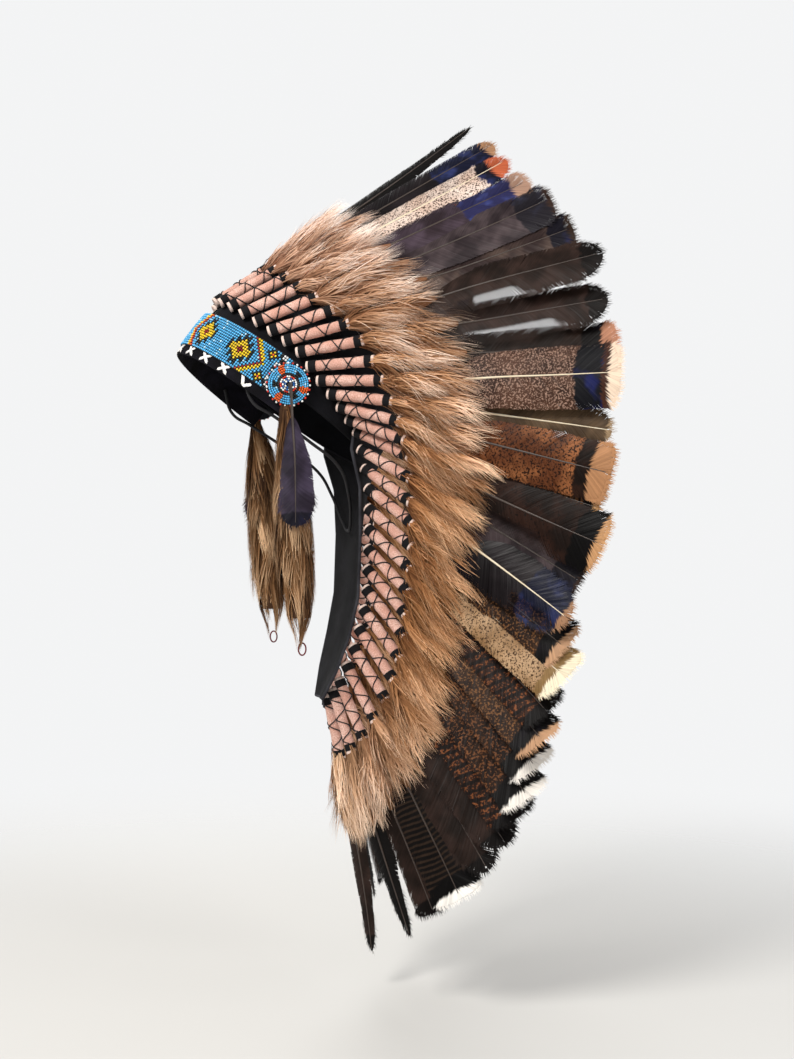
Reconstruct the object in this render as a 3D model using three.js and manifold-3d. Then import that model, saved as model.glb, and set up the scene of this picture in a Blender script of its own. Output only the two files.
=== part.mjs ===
// A feathered headdress: a cloth cap with a beaded brow band, a row of bound plumes that runs
// from the brow over both temples and down the edges of a hanging trailer, two rosettes with
// side drops, and a nape cord. Millimetres, +Z up. The wearer faces -Y and the wearer's left
// is +X. The origin is the centre of the head opening.
import Module from "manifold-3d";
import * as THREE from "three";
import { mergeVertices } from "three/addons/utils/BufferGeometryUtils.js";

const { Vector3 } = THREE;
const rad = THREE.MathUtils.degToRad;

// ---------------------------------------------------------------- driving sizes

// The head opening drops towards the nape by this angle.
const TILT = rad(36);
// The cap is a rounded dome over an oval opening; fullness 2 would be an ellipsoid.
const CAP = { halfLength: 105, halfWidth: 84, crown: 112, fullness: 2.2, wall: 2 };
// Strips wrapped round the cap: low and high are heights above the rim, reach is the turn from
// the front at which each one ends, out is how far its inner face stands off the cap.
const BROW_BAND = { low: -24, high: 23, reach: rad(88), out: 0.8, wall: 2 };
const BEAD_STRIP = { low: -15, high: 22, reach: rad(80), out: 3.3, wall: 2 };
const ROSETTE = { turn: rad(83), height: 1, radius: 20.5, wall: 3, dome: 1.4, out: 5.8 };
const TRAILER = { wall: 2.4, edgeInset: 2 };
const SLEEVE = { length: 60, radius: 4.6, binding: 5.3, bindingLength: 7, seat: 0.6 };
const FLUFF = { full: 84, thin: 124, end: 152, thick: 12, share: 0.46 };
const VANE = { halfThick: 1.1 };
const CORD = { diameter: 3, sides: 8, steps: 36, turn: rad(62), height: -14, seat: 0.6 };
const PAIRS = 27;
// The last place in the row that is sewn to the cap; the rest are on the trailer.
const ON_HEAD = 13;
// Below 1 the plumes over the brow stand a little wider apart than those at the temples.
const SPREAD = 0.86;
// How many places to each side set the direction of the row at a plume.
const WINDOW = 3.5;
// From this pair on, two neighbouring plumes share one binding at the trailer's edge.
const FIRST_JOINED = 14;
const BAR_HALF_WIDTH = 1.6;

// The trailer from its seam on the cap to its round end. edge is how far its edges stand
// forward of the middle, and lift how far they are above it.
const TRAILER_SECTIONS = [
  { y: 91.5, z: -55, halfWidth: 70, edge: 38, lift: 27.6 },
  { y: 82.0, z: -70, halfWidth: 67, edge: 31, lift: 23 },
  { y: 75.0, z: -95, halfWidth: 61, edge: 15, lift: 13 },
  { y: 67.0, z: -130, halfWidth: 57, edge: 6, lift: 4 },
  { y: 63.0, z: -185, halfWidth: 57, edge: 4, lift: 2 },
  { y: 55.0, z: -222, halfWidth: 52, edge: 4, lift: 1 },
  { y: 44.5, z: -253, halfWidth: 40, edge: 3, lift: 0 },
  { y: 34.0, z: -280, halfWidth: 18, edge: 1, lift: 0 },
];

// Where the row of plumes is sewn on round the head: turn from the front, height above the rim.
const ROW_ON_CAP = [
  { turn: 0, height: 36 },
  { turn: 40, height: 32 },
  { turn: 76, height: 31 },
  { turn: 90, height: 22 },
  { turn: 104, height: 16 },
  { turn: 125, height: 7 },
];

// How the plumes lie along the row: place in the row, pitch above the horizon, flare away from
// the middle plane, roll of the vane about its quill, and overall length.
const LIE = [
  { place: 0, pitch: 34.5, flare: 0, roll: 0, length: 306 },
  { place: 1, pitch: 31.5, flare: 4, roll: -28, length: 300 },
  { place: 3, pitch: 25.5, flare: 12, roll: -6, length: 286 },
  { place: 6, pitch: 15, flare: 22, roll: 24, length: 286 },
  { place: 9, pitch: -1.5, flare: 29, roll: 36, length: 270 },
  { place: 12, pitch: -25, flare: 37, roll: 38, length: 262 },
  { place: 15, pitch: -42, flare: 40, roll: 40, length: 252 },
  { place: 19, pitch: -52, flare: 34, roll: 40, length: 250 },
  { place: 24, pitch: -61.5, flare: 26, roll: 36, length: 238 },
  { place: 27, pitch: -75, flare: 14, roll: 22, length: 235 },
  { place: 28, pitch: -78.5, flare: 0, roll: 0, length: 250 },
];

// The vane beyond the fluff: share of the way to the tip, and half width as a share of its own.
const VANE_SECTIONS = [
  { share: 0, half: 0.55 },
  { share: 0.45, half: 0.9 },
  { share: 0.85, half: 1 },
  { share: 1, half: 0.55 },
];
const VANE_HALF_WIDTH = { broad: 26, middle: 21, slim: 13 };
// Plumes that are not of the middle width, by their place in the row.
const BROAD = [9, 13, 16, 18];
const SLIM = [0, 10, 27, 28];

// The nape cord on the wearer's left, from below the band to the middle of the neck. It is
// sewn to the inside of the band at CORD.turn and CORD.height.
const NAPE_CORD = [
  { x: 73.5, y: -40, z: -6 },
  { x: 73, y: -23, z: -17 },
  { x: 67, y: 12, z: -40 },
  { x: 56, y: 43, z: -64 },
  { x: 42, y: 54, z: -87 },
  { x: 22, y: 60, z: -111 },
  { x: 0, y: 62, z: -122 },
];

// The side drops: a fur tail under the rosette and a feather in front of it.
const DROP_FUR = [
  { x: 94.5, y: -14, z: -13, halfWidth: 7, halfThick: 5 },
  { x: 91, y: -9, z: -44, halfWidth: 15, halfThick: 10 },
  { x: 89, y: -6, z: -100, halfWidth: 18, halfThick: 13 },
  { x: 87, y: -2, z: -160, halfWidth: 18, halfThick: 13 },
  { x: 86, y: 1, z: -200, halfWidth: 13, halfThick: 10 },
  { x: 86, y: 3, z: -222, halfWidth: 4, halfThick: 4 },
];
const DROP_FEATHER = [
  { x: 101, y: -9, z: -8, halfWidth: 2, halfThick: 1.2 },
  { x: 104, y: -9, z: -28, halfWidth: 4, halfThick: 1.2 },
  { x: 106, y: -8, z: -54, halfWidth: 15, halfThick: 1 },
  { x: 106, y: -7, z: -88, halfWidth: 18, halfThick: 1 },
  { x: 105, y: -5, z: -112, halfWidth: 8, halfThick: 0.8 },
];

// ---------------------------------------------------------------- helpers

const FELT = { roughness: 0.95, metalness: 0 };
const COLOURS = {
  cap: 0x131317,
  trailer: 0x2c2c31,
  brow_band: 0x121218,
  bead_strip: 0x3da3dc,
  rosette: 0x2f97d6,
  plume: 0xb08a66,
  drop_fur: 0xb98f63,
  drop_feather: 0x3a3446,
  nape_cord: 0x0c0c0e,
};

const parts = new THREE.Group();

function add(name, geometry, kind) {
  const material = new THREE.MeshStandardMaterial({ color: COLOURS[kind], ...FELT });
  const mesh = new THREE.Mesh(geometry, material);
  mesh.name = name;
  parts.add(mesh);
}

// Reads a table's column at a place between two of its rows.
function between(table, key, place, column) {
  const after = table.findIndex((row) => row[key] >= place);
  if (after <= 0) return table[after < 0 ? table.length - 1 : 0][column];
  const [a, b] = [table[after - 1], table[after]];
  return a[column] + ((b[column] - a[column]) * (place - a[key])) / (b[key] - a[key]);
}

// A closed surface from points and triangles, turned to face outwards.
function closed(points, triangles) {
  let volume = 0;
  for (const [a, b, c] of triangles) {
    volume += points[a].dot(new Vector3().crossVectors(points[b], points[c]));
  }
  const order = volume < 0 ? triangles.map(([a, b, c]) => [a, c, b]) : triangles;
  const geometry = new THREE.BufferGeometry().setFromPoints(points);
  geometry.setIndex(order.flat());
  geometry.computeVertexNormals();
  return geometry;
}

// A sheet of even thickness. place(u, v) is its inner face, for u and v from 0 to 1, and
// outward(point, u, v) says which side the thickness goes to.
function sheet(place, outward, columns, rows, wall) {
  const near = 1e-3;
  const points = [];
  for (let side = 0; side < 2; side++) {
    for (let j = 0; j <= rows; j++) {
      for (let i = 0; i <= columns; i++) {
        const [u, v] = [i / columns, j / rows];
        const point = place(u, v);
        const alongU = place(Math.min(1, u + near), v).sub(place(Math.max(0, u - near), v));
        const alongV = place(u, Math.min(1, v + near)).sub(place(u, Math.max(0, v - near)));
        const normal = new Vector3().crossVectors(alongU, alongV).normalize();
        if (normal.dot(outward(point, u, v)) < 0) normal.negate();
        points.push(point.addScaledVector(normal, side * wall));
      }
    }
  }
  const at = (side, i, j) => side * (columns + 1) * (rows + 1) + j * (columns + 1) + i;
  const triangles = [];
  const quad = (a, b, c, d) => triangles.push([a, b, c], [a, c, d]);
  for (let j = 0; j < rows; j++) {
    for (let i = 0; i < columns; i++) {
      quad(at(0, i, j), at(0, i + 1, j), at(0, i + 1, j + 1), at(0, i, j + 1));
      quad(at(1, i, j), at(1, i, j + 1), at(1, i + 1, j + 1), at(1, i + 1, j));
    }
  }
  for (let i = 0; i < columns; i++) {
    quad(at(0, i, 0), at(1, i, 0), at(1, i + 1, 0), at(0, i + 1, 0));
    quad(at(0, i, rows), at(0, i + 1, rows), at(1, i + 1, rows), at(1, i, rows));
  }
  for (let j = 0; j < rows; j++) {
    quad(at(0, 0, j), at(0, 0, j + 1), at(1, 0, j + 1), at(1, 0, j));
    quad(at(0, columns, j), at(1, columns, j), at(1, columns, j + 1), at(0, columns, j + 1));
  }
  return closed(points, triangles);
}

// A closed skin over a line of rings that all have the same number of points.
function skin(rings) {
  const sides = rings[0].length;
  const triangles = [];
  for (let j = 0; j < rings.length - 1; j++) {
    for (let i = 0; i < sides; i++) {
      const [a, b] = [j * sides + i, j * sides + ((i + 1) % sides)];
      triangles.push([a, b, b + sides], [a, b + sides, a + sides]);
    }
  }
  const last = (rings.length - 1) * sides;
  for (let i = 1; i < sides - 1; i++) {
    triangles.push([0, i + 1, i], [last, last + i, last + i + 1]);
  }
  return closed(rings.flat(), triangles);
}

// An oval ring of points round a centre.
function ring(centre, across, thick, halfWidth, halfThick, sides) {
  return Array.from({ length: sides }, (_, i) => {
    const turn = (2 * Math.PI * i) / sides;
    return centre
      .clone()
      .addScaledVector(across, halfWidth * Math.cos(turn))
      .addScaledVector(thick, halfThick * Math.sin(turn));
  });
}

// ---------------------------------------------------------------- the head's form

// From the level head frame to the part's frame.
const tilted = (v) => v.applyAxisAngle(new Vector3(1, 0, 0), -TILT);

// Outward direction of the cap at a turn from the front and a height above the rim.
function capNormal(turn, height) {
  const size = capScale(height);
  const up = Math.max(0, height) / CAP.crown;
  return tilted(
    new Vector3(
      (size ** (CAP.fullness - 1) * Math.sin(turn)) / CAP.halfWidth,
      (-(size ** (CAP.fullness - 1)) * Math.cos(turn)) / CAP.halfLength,
      up ** (CAP.fullness - 1) / CAP.crown,
    ).normalize(),
  );
}

// How far the dome has closed at a height: 1 at the rim, 0 at the crown.
function capScale(height) {
  const up = Math.max(0, height) / CAP.crown;
  return (1 - up ** CAP.fullness) ** (1 / CAP.fullness);
}

function capPoint(turn, height, out = 0) {
  const size = capScale(height);
  const x = CAP.halfWidth * size * Math.sin(turn);
  const y = -CAP.halfLength * size * Math.cos(turn);
  return tilted(new Vector3(x, y, height)).addScaledVector(capNormal(turn, height), out);
}

// ---------------------------------------------------------------- cap and bands

function capGeometry() {
  const outerRises = [0, 24, 46, 66, 84, 98, 107, 112];
  const innerRises = [110, 104, 92, 74, 52, 26, 0];
  const inner = CAP.crown - CAP.wall;
  const outerLine = outerRises.map(
    (rise) => new THREE.Vector2(CAP.halfLength * capScale(rise), rise),
  );
  const innerLine = innerRises.map((rise) => {
    const size = (1 - (rise / inner) ** CAP.fullness) ** (1 / CAP.fullness);
    return new THREE.Vector2((CAP.halfLength - CAP.wall) * size, rise);
  });
  const profile = [...innerLine, ...outerLine];
  const geometry = new THREE.LatheGeometry(profile, 20);
  geometry.rotateX(Math.PI / 2);
  geometry.scale(CAP.halfWidth / CAP.halfLength, 1, 1);
  geometry.rotateX(-TILT);
  return geometry;
}

// A strip wrapped round the front of the cap, from one temple to the other.
function wrapped(strip, columns) {
  const place = (u, v) =>
    capPoint(
      strip.reach * (2 * u - 1),
      strip.low + (strip.high - strip.low) * v,
      strip.out,
    );
  const outward = (point, u) => capNormal(strip.reach * (2 * u - 1), 0);
  return sheet(place, outward, columns, 2, strip.wall);
}

// A low domed disc sewn flat against the band at the temple.
function rosetteGeometry(side) {
  const edge = ROSETTE.wall - ROSETTE.dome;
  const profile = [
    [0, 0],
    [ROSETTE.radius, 0],
    [ROSETTE.radius, edge],
    [ROSETTE.radius * 0.6, edge + 0.8 * ROSETTE.dome],
    [0, ROSETTE.wall],
  ].map(([x, y]) => new THREE.Vector2(x, y));
  const normal = capNormal(side * ROSETTE.turn, ROSETTE.height);
  const turned = new THREE.Quaternion().setFromUnitVectors(new Vector3(0, 1, 0), normal);
  const geometry = new THREE.LatheGeometry(profile, 20);
  geometry.applyQuaternion(turned);
  return geometry.translate(...capPoint(side * ROSETTE.turn, ROSETTE.height, ROSETTE.out));
}

// ---------------------------------------------------------------- trailer

// A place on the trailer: across from -1 to 1, down from 0 at the cap to 1 at its round end.
function trailerPoint(across, down) {
  const rows = TRAILER_SECTIONS.map((row, i) => ({
    ...row,
    share: i / (TRAILER_SECTIONS.length - 1),
  }));
  const read = (column) => between(rows, "share", down, column);
  const halfWidth = read("halfWidth");
  const x = halfWidth * across;
  // The trailer is bowed as the back of the cap is.
  const bow = (at) => 1 - Math.sqrt(1 - (at / (CAP.halfWidth + 1)) ** 2);
  const share = bow(x) / bow(halfWidth);
  return new Vector3(x, read("y") - read("edge") * share, read("z") + read("lift") * share);
}

const backwards = () => new Vector3(0, 1, 0);
const trailerGeometry = () =>
  sheet((u, v) => trailerPoint(2 * u - 1, v), backwards, 8, 14, TRAILER.wall);

// ---------------------------------------------------------------- the row of plumes

// The lines on which the plumes' inner ends sit on the wearer's left: round the head, then down
// the trailer's edge, closing to its middle at the round end.
function rowLines() {
  const stand = SLEEVE.binding + SLEEVE.seat;
  const head = [];
  for (let turn = 0; turn <= ROW_ON_CAP.at(-1).turn; turn += 2.5) {
    head.push(capPoint(rad(turn), between(ROW_ON_CAP, "turn", turn, "height"), stand));
  }
  const hanging = [head.at(-1)];
  for (let down = 0.16; down <= 1.0001; down += 0.02) {
    const closing = Math.sqrt(1 - Math.max(0, (Math.min(down, 1) - 0.9) / 0.1) ** 2);
    const across = (1 - TRAILER.edgeInset / trailerPoint(1, down).x) * closing;
    const point = trailerPoint(across, down);
    hanging.push(point.add(new Vector3(0, TRAILER.wall + stand, 0)));
  }
  return { head, hanging };
}

// The point at a share of a line's length.
function along(line, share) {
  const lengths = [0];
  for (let i = 1; i < line.length; i++) {
    lengths.push(lengths[i - 1] + line[i].distanceTo(line[i - 1]));
  }
  const wanted = share * lengths.at(-1);
  const i = Math.max(1, lengths.findIndex((length) => length >= wanted - 1e-9));
  const part = (wanted - lengths[i - 1]) / (lengths[i] - lengths[i - 1]);
  return line[i - 1].clone().lerp(line[i], part);
}

const lines = rowLines();
const MIRROR = new Vector3(-1, 1, 1);

// The point on the row at a place, 0 at the brow and PAIRS + 1 at the trailer's end. Past
// either end the row goes on up the wearer's right side.
function rowPoint(place) {
  const last = PAIRS + 1;
  if (place < 0) return rowPoint(-place).multiply(MIRROR);
  if (place > last) return rowPoint(2 * last - place).multiply(MIRROR);
  if (place <= ON_HEAD) return along(lines.head, (place / ON_HEAD) ** SPREAD);
  return along(lines.hanging, (place - ON_HEAD) / (last - ON_HEAD));
}

// A plume's own frame: where its sleeve starts, the way it points, and the way its vane lies.
function plumeFrame(place) {
  const read = (column) => between(LIE, "place", place, column);
  const [pitch, flare, roll] = ["pitch", "flare", "roll"].map((column) => rad(read(column)));
  const next = rowPoint(place + WINDOW).sub(rowPoint(place - WINDOW));
  const ahead = new Vector3(
    Math.sin(flare),
    Math.cos(flare) * Math.cos(pitch),
    Math.cos(flare) * Math.sin(pitch),
  );
  const outward = new Vector3().crossVectors(next, ahead).normalize();
  const beside = new Vector3().crossVectors(ahead, outward).normalize();
  const across = beside.clone().applyAxisAngle(ahead, -roll);
  const thick = new Vector3().crossVectors(across, ahead).normalize();
  return { base: rowPoint(place), ahead, outward, beside, across, thick, length: read("length") };
}

const frames = Array.from({ length: PAIRS + 2 }, (_, place) => plumeFrame(place));
const reachPoint = (frame, reach) => frame.base.clone().addScaledVector(frame.ahead, reach);

// Half the room that a plume's fluff has between its neighbours at a reach.
function fluffRoom(place, reach) {
  const own = reachPoint(frames[place], reach);
  const gaps = [place - 1, place + 1]
    .filter((other) => frames[other])
    .map((other) => reachPoint(frames[other], reach).sub(own))
    .map((gap) => gap.projectOnPlane(frames[place].ahead).length());
  return FLUFF.share * Math.min(...gaps);
}

// The rings of one plume: bound sleeve, fluff and vane.
function plumeRings(place) {
  const frame = frames[place];
  const { beside, outward, across, thick, length } = frame;
  const oval = (reach, halfWidth, halfThick) =>
    ring(reachPoint(frame, reach), beside, outward, halfWidth, halfThick, 6);
  const { bindingLength, binding, radius } = SLEEVE;
  const sleeve = [
    [0, binding],
    [bindingLength, binding],
    [bindingLength + 0.8, radius],
    [SLEEVE.length - bindingLength - 0.8, radius],
    [SLEEVE.length - bindingLength, binding],
    [SLEEVE.length, binding],
  ].map(([reach, size]) => oval(reach, size, size));
  const fluff = [
    oval(FLUFF.full, fluffRoom(place, FLUFF.full), FLUFF.thick),
    oval(FLUFF.thin, fluffRoom(place, FLUFF.thin), 0.7 * FLUFF.thick),
  ];
  const width = BROAD.includes(place) ? "broad" : SLIM.includes(place) ? "slim" : "middle";
  const vane = VANE_SECTIONS.map(({ share, half }) => {
    const reach = FLUFF.end + (length - FLUFF.end) * share;
    const halfWidth = half * VANE_HALF_WIDTH[width];
    return ring(reachPoint(frame, reach), across, thick, halfWidth, VANE.halfThick, 6);
  });
  return [...sleeve, ...fluff, ...vane];
}

// The same rings on the other side of the middle plane.
const mirrored = (rings) =>
  rings.map((points) => points.map((point) => point.clone().multiply(MIRROR)));

// ---------------------------------------------------------------- joining

const wasm = await Module();
wasm.setup();

function solid(geometry) {
  const bare = geometry.clone();
  bare.deleteAttribute("normal");
  bare.deleteAttribute("uv");
  const merged = mergeVertices(bare, 1e-4);
  return new wasm.Manifold(
    new wasm.Mesh({
      numProp: 3,
      vertProperties: merged.attributes.position.array,
      triVerts: new Uint32Array(merged.index.array),
    }),
  );
}

function joined(geometries) {
  const mesh = wasm.Manifold.union(geometries.map(solid)).getMesh();
  const geometry = new THREE.BufferGeometry();
  geometry.setAttribute("position", new THREE.BufferAttribute(mesh.vertProperties, 3));
  geometry.setIndex(new THREE.BufferAttribute(mesh.triVerts, 1));
  geometry.computeVertexNormals();
  return geometry;
}

// A short square bar from the middle of one plume's inner binding to the next one's.
function barRings(place) {
  const [a, b] = [frames[place], frames[place + 1]];
  const reach = SLEEVE.bindingLength / 2;
  return [reachPoint(a, reach), reachPoint(b, reach)].map((point) =>
    ring(point, a.ahead, a.outward, BAR_HALF_WIDTH, BAR_HALF_WIDTH, 4),
  );
}

function addPlumes() {
  const sides = [
    { side: "left", turnOver: (rings) => rings },
    { side: "right", turnOver: mirrored },
  ];
  add("plume_00_centre", skin(plumeRings(0)), "plume");
  for (const { side, turnOver } of sides) {
    for (let place = 1; place <= PAIRS; place++) {
      const label = String(place).padStart(2, "0");
      if (place < FIRST_JOINED) {
        add(`plume_${label}_${side}`, skin(turnOver(plumeRings(place))), "plume");
      } else if ((place - FIRST_JOINED) % 2 === 0) {
        const rings = [plumeRings(place), barRings(place), plumeRings(place + 1)];
        const pair = `plumes_${label}_${place + 1}_${side}`;
        add(pair, joined(rings.map((one) => skin(turnOver(one)))), "plume");
      }
    }
  }
  add(`plume_${PAIRS + 1}_centre`, skin(plumeRings(PAIRS + 1)), "plume");
}

// ---------------------------------------------------------------- side drops and nape cord

const FORE = new Vector3(0, 1, 0);
const SIDEWAYS = new Vector3(1, 0, 0);

// The tail of fur: a core with locks laid round it that end at different heights.
function furGeometry(side) {
  const strand = (rows, shiftX, shiftY, size) =>
    rows.map(({ x, y, z, halfWidth, halfThick }) => {
      const centre = new Vector3(side * (x + shiftX), y + shiftY, z);
      return ring(centre, FORE, SIDEWAYS, size * halfWidth, size * halfThick, 6);
    });
  const lock = (first, last) => DROP_FUR.slice(first, last + 1);
  return joined([
    skin(strand(DROP_FUR, 0, 0, 0.85)),
    skin(strand(lock(1, 4), 3, -5, 0.7)),
    skin(strand(lock(1, 5), 2, 5, 0.7)),
    skin(strand(lock(1, 3), -4, 1, 0.8)),
  ]);
}

function dropFeatherGeometry(side) {
  return skin(
    DROP_FEATHER.map(({ x, y, z, halfWidth, halfThick }) => {
      const centre = new Vector3(side * x, y, z);
      return ring(centre, FORE, SIDEWAYS, halfWidth, halfThick, 6);
    }),
  );
}

function cordGeometry() {
  const inside = BROW_BAND.out - CORD.seat - CORD.diameter / 2;
  const sewn = capPoint(CORD.turn, CORD.height, inside);
  const left = [sewn, ...NAPE_CORD.map(({ x, y, z }) => new Vector3(x, y, z))];
  const right = left.slice(0, -1).map(({ x, y, z }) => new Vector3(-x, y, z));
  const path = new THREE.CatmullRomCurve3([...left, ...right.reverse()]);
  const turn = (i) => (2 * Math.PI * i) / CORD.sides;
  const round = Array.from({ length: CORD.sides }, (_, i) =>
    new THREE.Vector2(Math.cos(turn(i)), Math.sin(turn(i))).multiplyScalar(CORD.diameter / 2),
  );
  return new THREE.ExtrudeGeometry(new THREE.Shape(round), {
    steps: CORD.steps,
    extrudePath: path,
  });
}

add("cap", capGeometry(), "cap");
add("brow_band", wrapped(BROW_BAND, 20), "brow_band");
add("bead_strip", wrapped(BEAD_STRIP, 20), "bead_strip");
add("rosette_left", rosetteGeometry(1), "rosette");
add("rosette_right", rosetteGeometry(-1), "rosette");
add("trailer", trailerGeometry(), "trailer");
addPlumes();
for (const [side, sign] of [["left", 1], ["right", -1]]) {
  add(`drop_fur_${side}`, furGeometry(sign), "drop_fur");
  add(`drop_feather_${side}`, dropFeatherGeometry(sign), "drop_feather");
}
add("nape_cord", cordGeometry(), "nape_cord");

export default parts;
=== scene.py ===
# %% [markdown]
# # A feathered headdress
# The headdress is a cloth cap with a beaded brow band, a row of bound plumes that runs over
# both temples and down the edges of a hanging trailer, two rosettes with side drops, and a
# nape cord. Each step below makes one of those pieces, and says how the real one is made.

# %% Load the fixed frame
import math

import bpy
import numpy as np
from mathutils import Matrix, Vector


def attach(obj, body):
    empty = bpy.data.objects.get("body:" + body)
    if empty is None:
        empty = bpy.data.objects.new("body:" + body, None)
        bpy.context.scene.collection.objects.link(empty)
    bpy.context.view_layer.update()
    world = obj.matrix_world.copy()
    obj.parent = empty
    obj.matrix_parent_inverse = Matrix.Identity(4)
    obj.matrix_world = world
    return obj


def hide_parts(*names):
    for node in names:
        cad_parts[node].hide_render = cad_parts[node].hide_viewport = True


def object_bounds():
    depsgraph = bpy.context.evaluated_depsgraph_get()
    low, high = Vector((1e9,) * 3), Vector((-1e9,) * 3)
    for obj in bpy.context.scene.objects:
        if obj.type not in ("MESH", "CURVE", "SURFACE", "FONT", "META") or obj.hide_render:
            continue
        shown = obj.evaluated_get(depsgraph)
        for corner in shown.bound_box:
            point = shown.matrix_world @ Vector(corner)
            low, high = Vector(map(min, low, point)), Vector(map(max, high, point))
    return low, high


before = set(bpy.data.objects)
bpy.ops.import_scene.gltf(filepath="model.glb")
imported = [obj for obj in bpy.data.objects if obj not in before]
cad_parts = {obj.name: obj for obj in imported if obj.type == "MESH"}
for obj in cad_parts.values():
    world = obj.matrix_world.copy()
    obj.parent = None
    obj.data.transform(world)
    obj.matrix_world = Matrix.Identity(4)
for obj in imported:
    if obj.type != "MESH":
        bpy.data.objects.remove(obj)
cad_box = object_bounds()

MM = 0.001
DRAW = np.random.default_rng(1876)
print("frame loaded:", len(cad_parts), "nodes")

# %% [markdown]
# ## Camera and light
# The headdress is seen from the wearer's left and a little from the front, level with its
# middle. A long lens far away keeps the rows of plumes from spreading. The light comes from
# one soft lamp high on the camera's side, two weaker ones behind and on the far side, and a
# pale world, so that the dark feathers still show their edges.

# %% Camera
VIEW = {"turn": math.radians(77), "distance": 1500.0, "beside": 107.35, "below": -120.65}
LENS_MM = 53.68


def add_camera():
    turn = VIEW["turn"]
    away = np.array([math.sin(turn), -math.cos(turn), 0])
    right = np.array([math.cos(turn), math.sin(turn), 0])
    place = VIEW["distance"] * away + VIEW["beside"] * right
    place[2] = VIEW["below"]
    lens = bpy.data.cameras.new("camera")
    lens.lens = LENS_MM
    lens.sensor_width = 36
    lens.clip_end = 50
    camera = bpy.data.objects.new("camera", lens)
    camera.location = place * MM
    camera.rotation_euler = (math.radians(90), 0, turn)
    bpy.context.collection.objects.link(camera)
    bpy.context.scene.camera = camera
    print("camera at", camera.location[:])


add_camera()


# %% Light
# Columns: name, place, size of the disc, watts, colour. Places and sizes are in metres.
LAMPS = [
    ("key", (1.5, -1.4, 1.5), 0.9, 62, (1, 0.97, 0.93)),
    ("fill", (1.6, 1.6, 0.5), 1.4, 22, (1, 1, 1)),
    ("far_side", (-1.8, 0.3, 0.9), 1.2, 26, (1, 1, 1)),
]
LAMP_AIM = (0, 0.05, -0.1)
WORLD = {"colour": (1.0, 0.98, 0.96, 1), "strength": 0.5}


def add_lamp(name, place, size, power, colour):
    data = bpy.data.lights.new(name, "AREA")
    data.shape = "DISK"
    data.size = size
    data.energy = power
    data.color = colour
    lamp = bpy.data.objects.new(name, data)
    lamp.location = place
    towards = np.array(LAMP_AIM) - np.array(place)
    flat = math.hypot(towards[0], towards[1])
    lamp.rotation_euler = (math.atan2(flat, -towards[2]), 0, math.atan2(-towards[0], towards[1]))
    bpy.context.collection.objects.link(lamp)


def add_light():
    world = bpy.data.worlds.new("pale_room")
    world.use_nodes = True
    sky = world.node_tree.nodes["Background"]
    sky.inputs["Color"].default_value = WORLD["colour"]
    sky.inputs["Strength"].default_value = WORLD["strength"]
    bpy.context.scene.world = world
    bpy.context.scene.view_settings.view_transform = "Standard"
    for row in LAMPS:
        add_lamp(*row)
    print("lamps:", len(LAMPS))


add_light()


# %% [markdown]
# ## One way to write materials
# A material is a small program of nodes. Written out node by node it is hard to read, so
# `Wire` stands for the value that comes out of a node: adding or multiplying two wires adds
# the Math node for it. `Finish` is one material, and its `node` method adds any other node.

# %% Wires and finishes
class Wire:
    def __init__(self, finish, socket):
        self.finish = finish
        self.socket = socket

    def math(self, operation, *values):
        sockets = dict(enumerate(values))
        return self.finish.node("ShaderNodeMath", {"operation": operation}, sockets)

    def __add__(self, other):
        return self.math("ADD", self, other)

    def __mul__(self, other):
        return self.math("MULTIPLY", self, other)

    def __sub__(self, other):
        return self.math("SUBTRACT", self, other)

    def __rsub__(self, other):
        return self.math("SUBTRACT", other, self)

    __radd__ = __add__
    __rmul__ = __mul__

    def sine(self):
        return self.math("SINE", self)

    def size(self):
        return self.math("ABSOLUTE", self)

    def step(self, low, high):
        """0 below low, 1 above high, and smooth between them."""
        kinds = {"interpolation_type": "SMOOTHSTEP", "clamp": True}
        return self.finish.node("ShaderNodeMapRange", kinds, {0: self, 1: low, 2: high})


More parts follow.
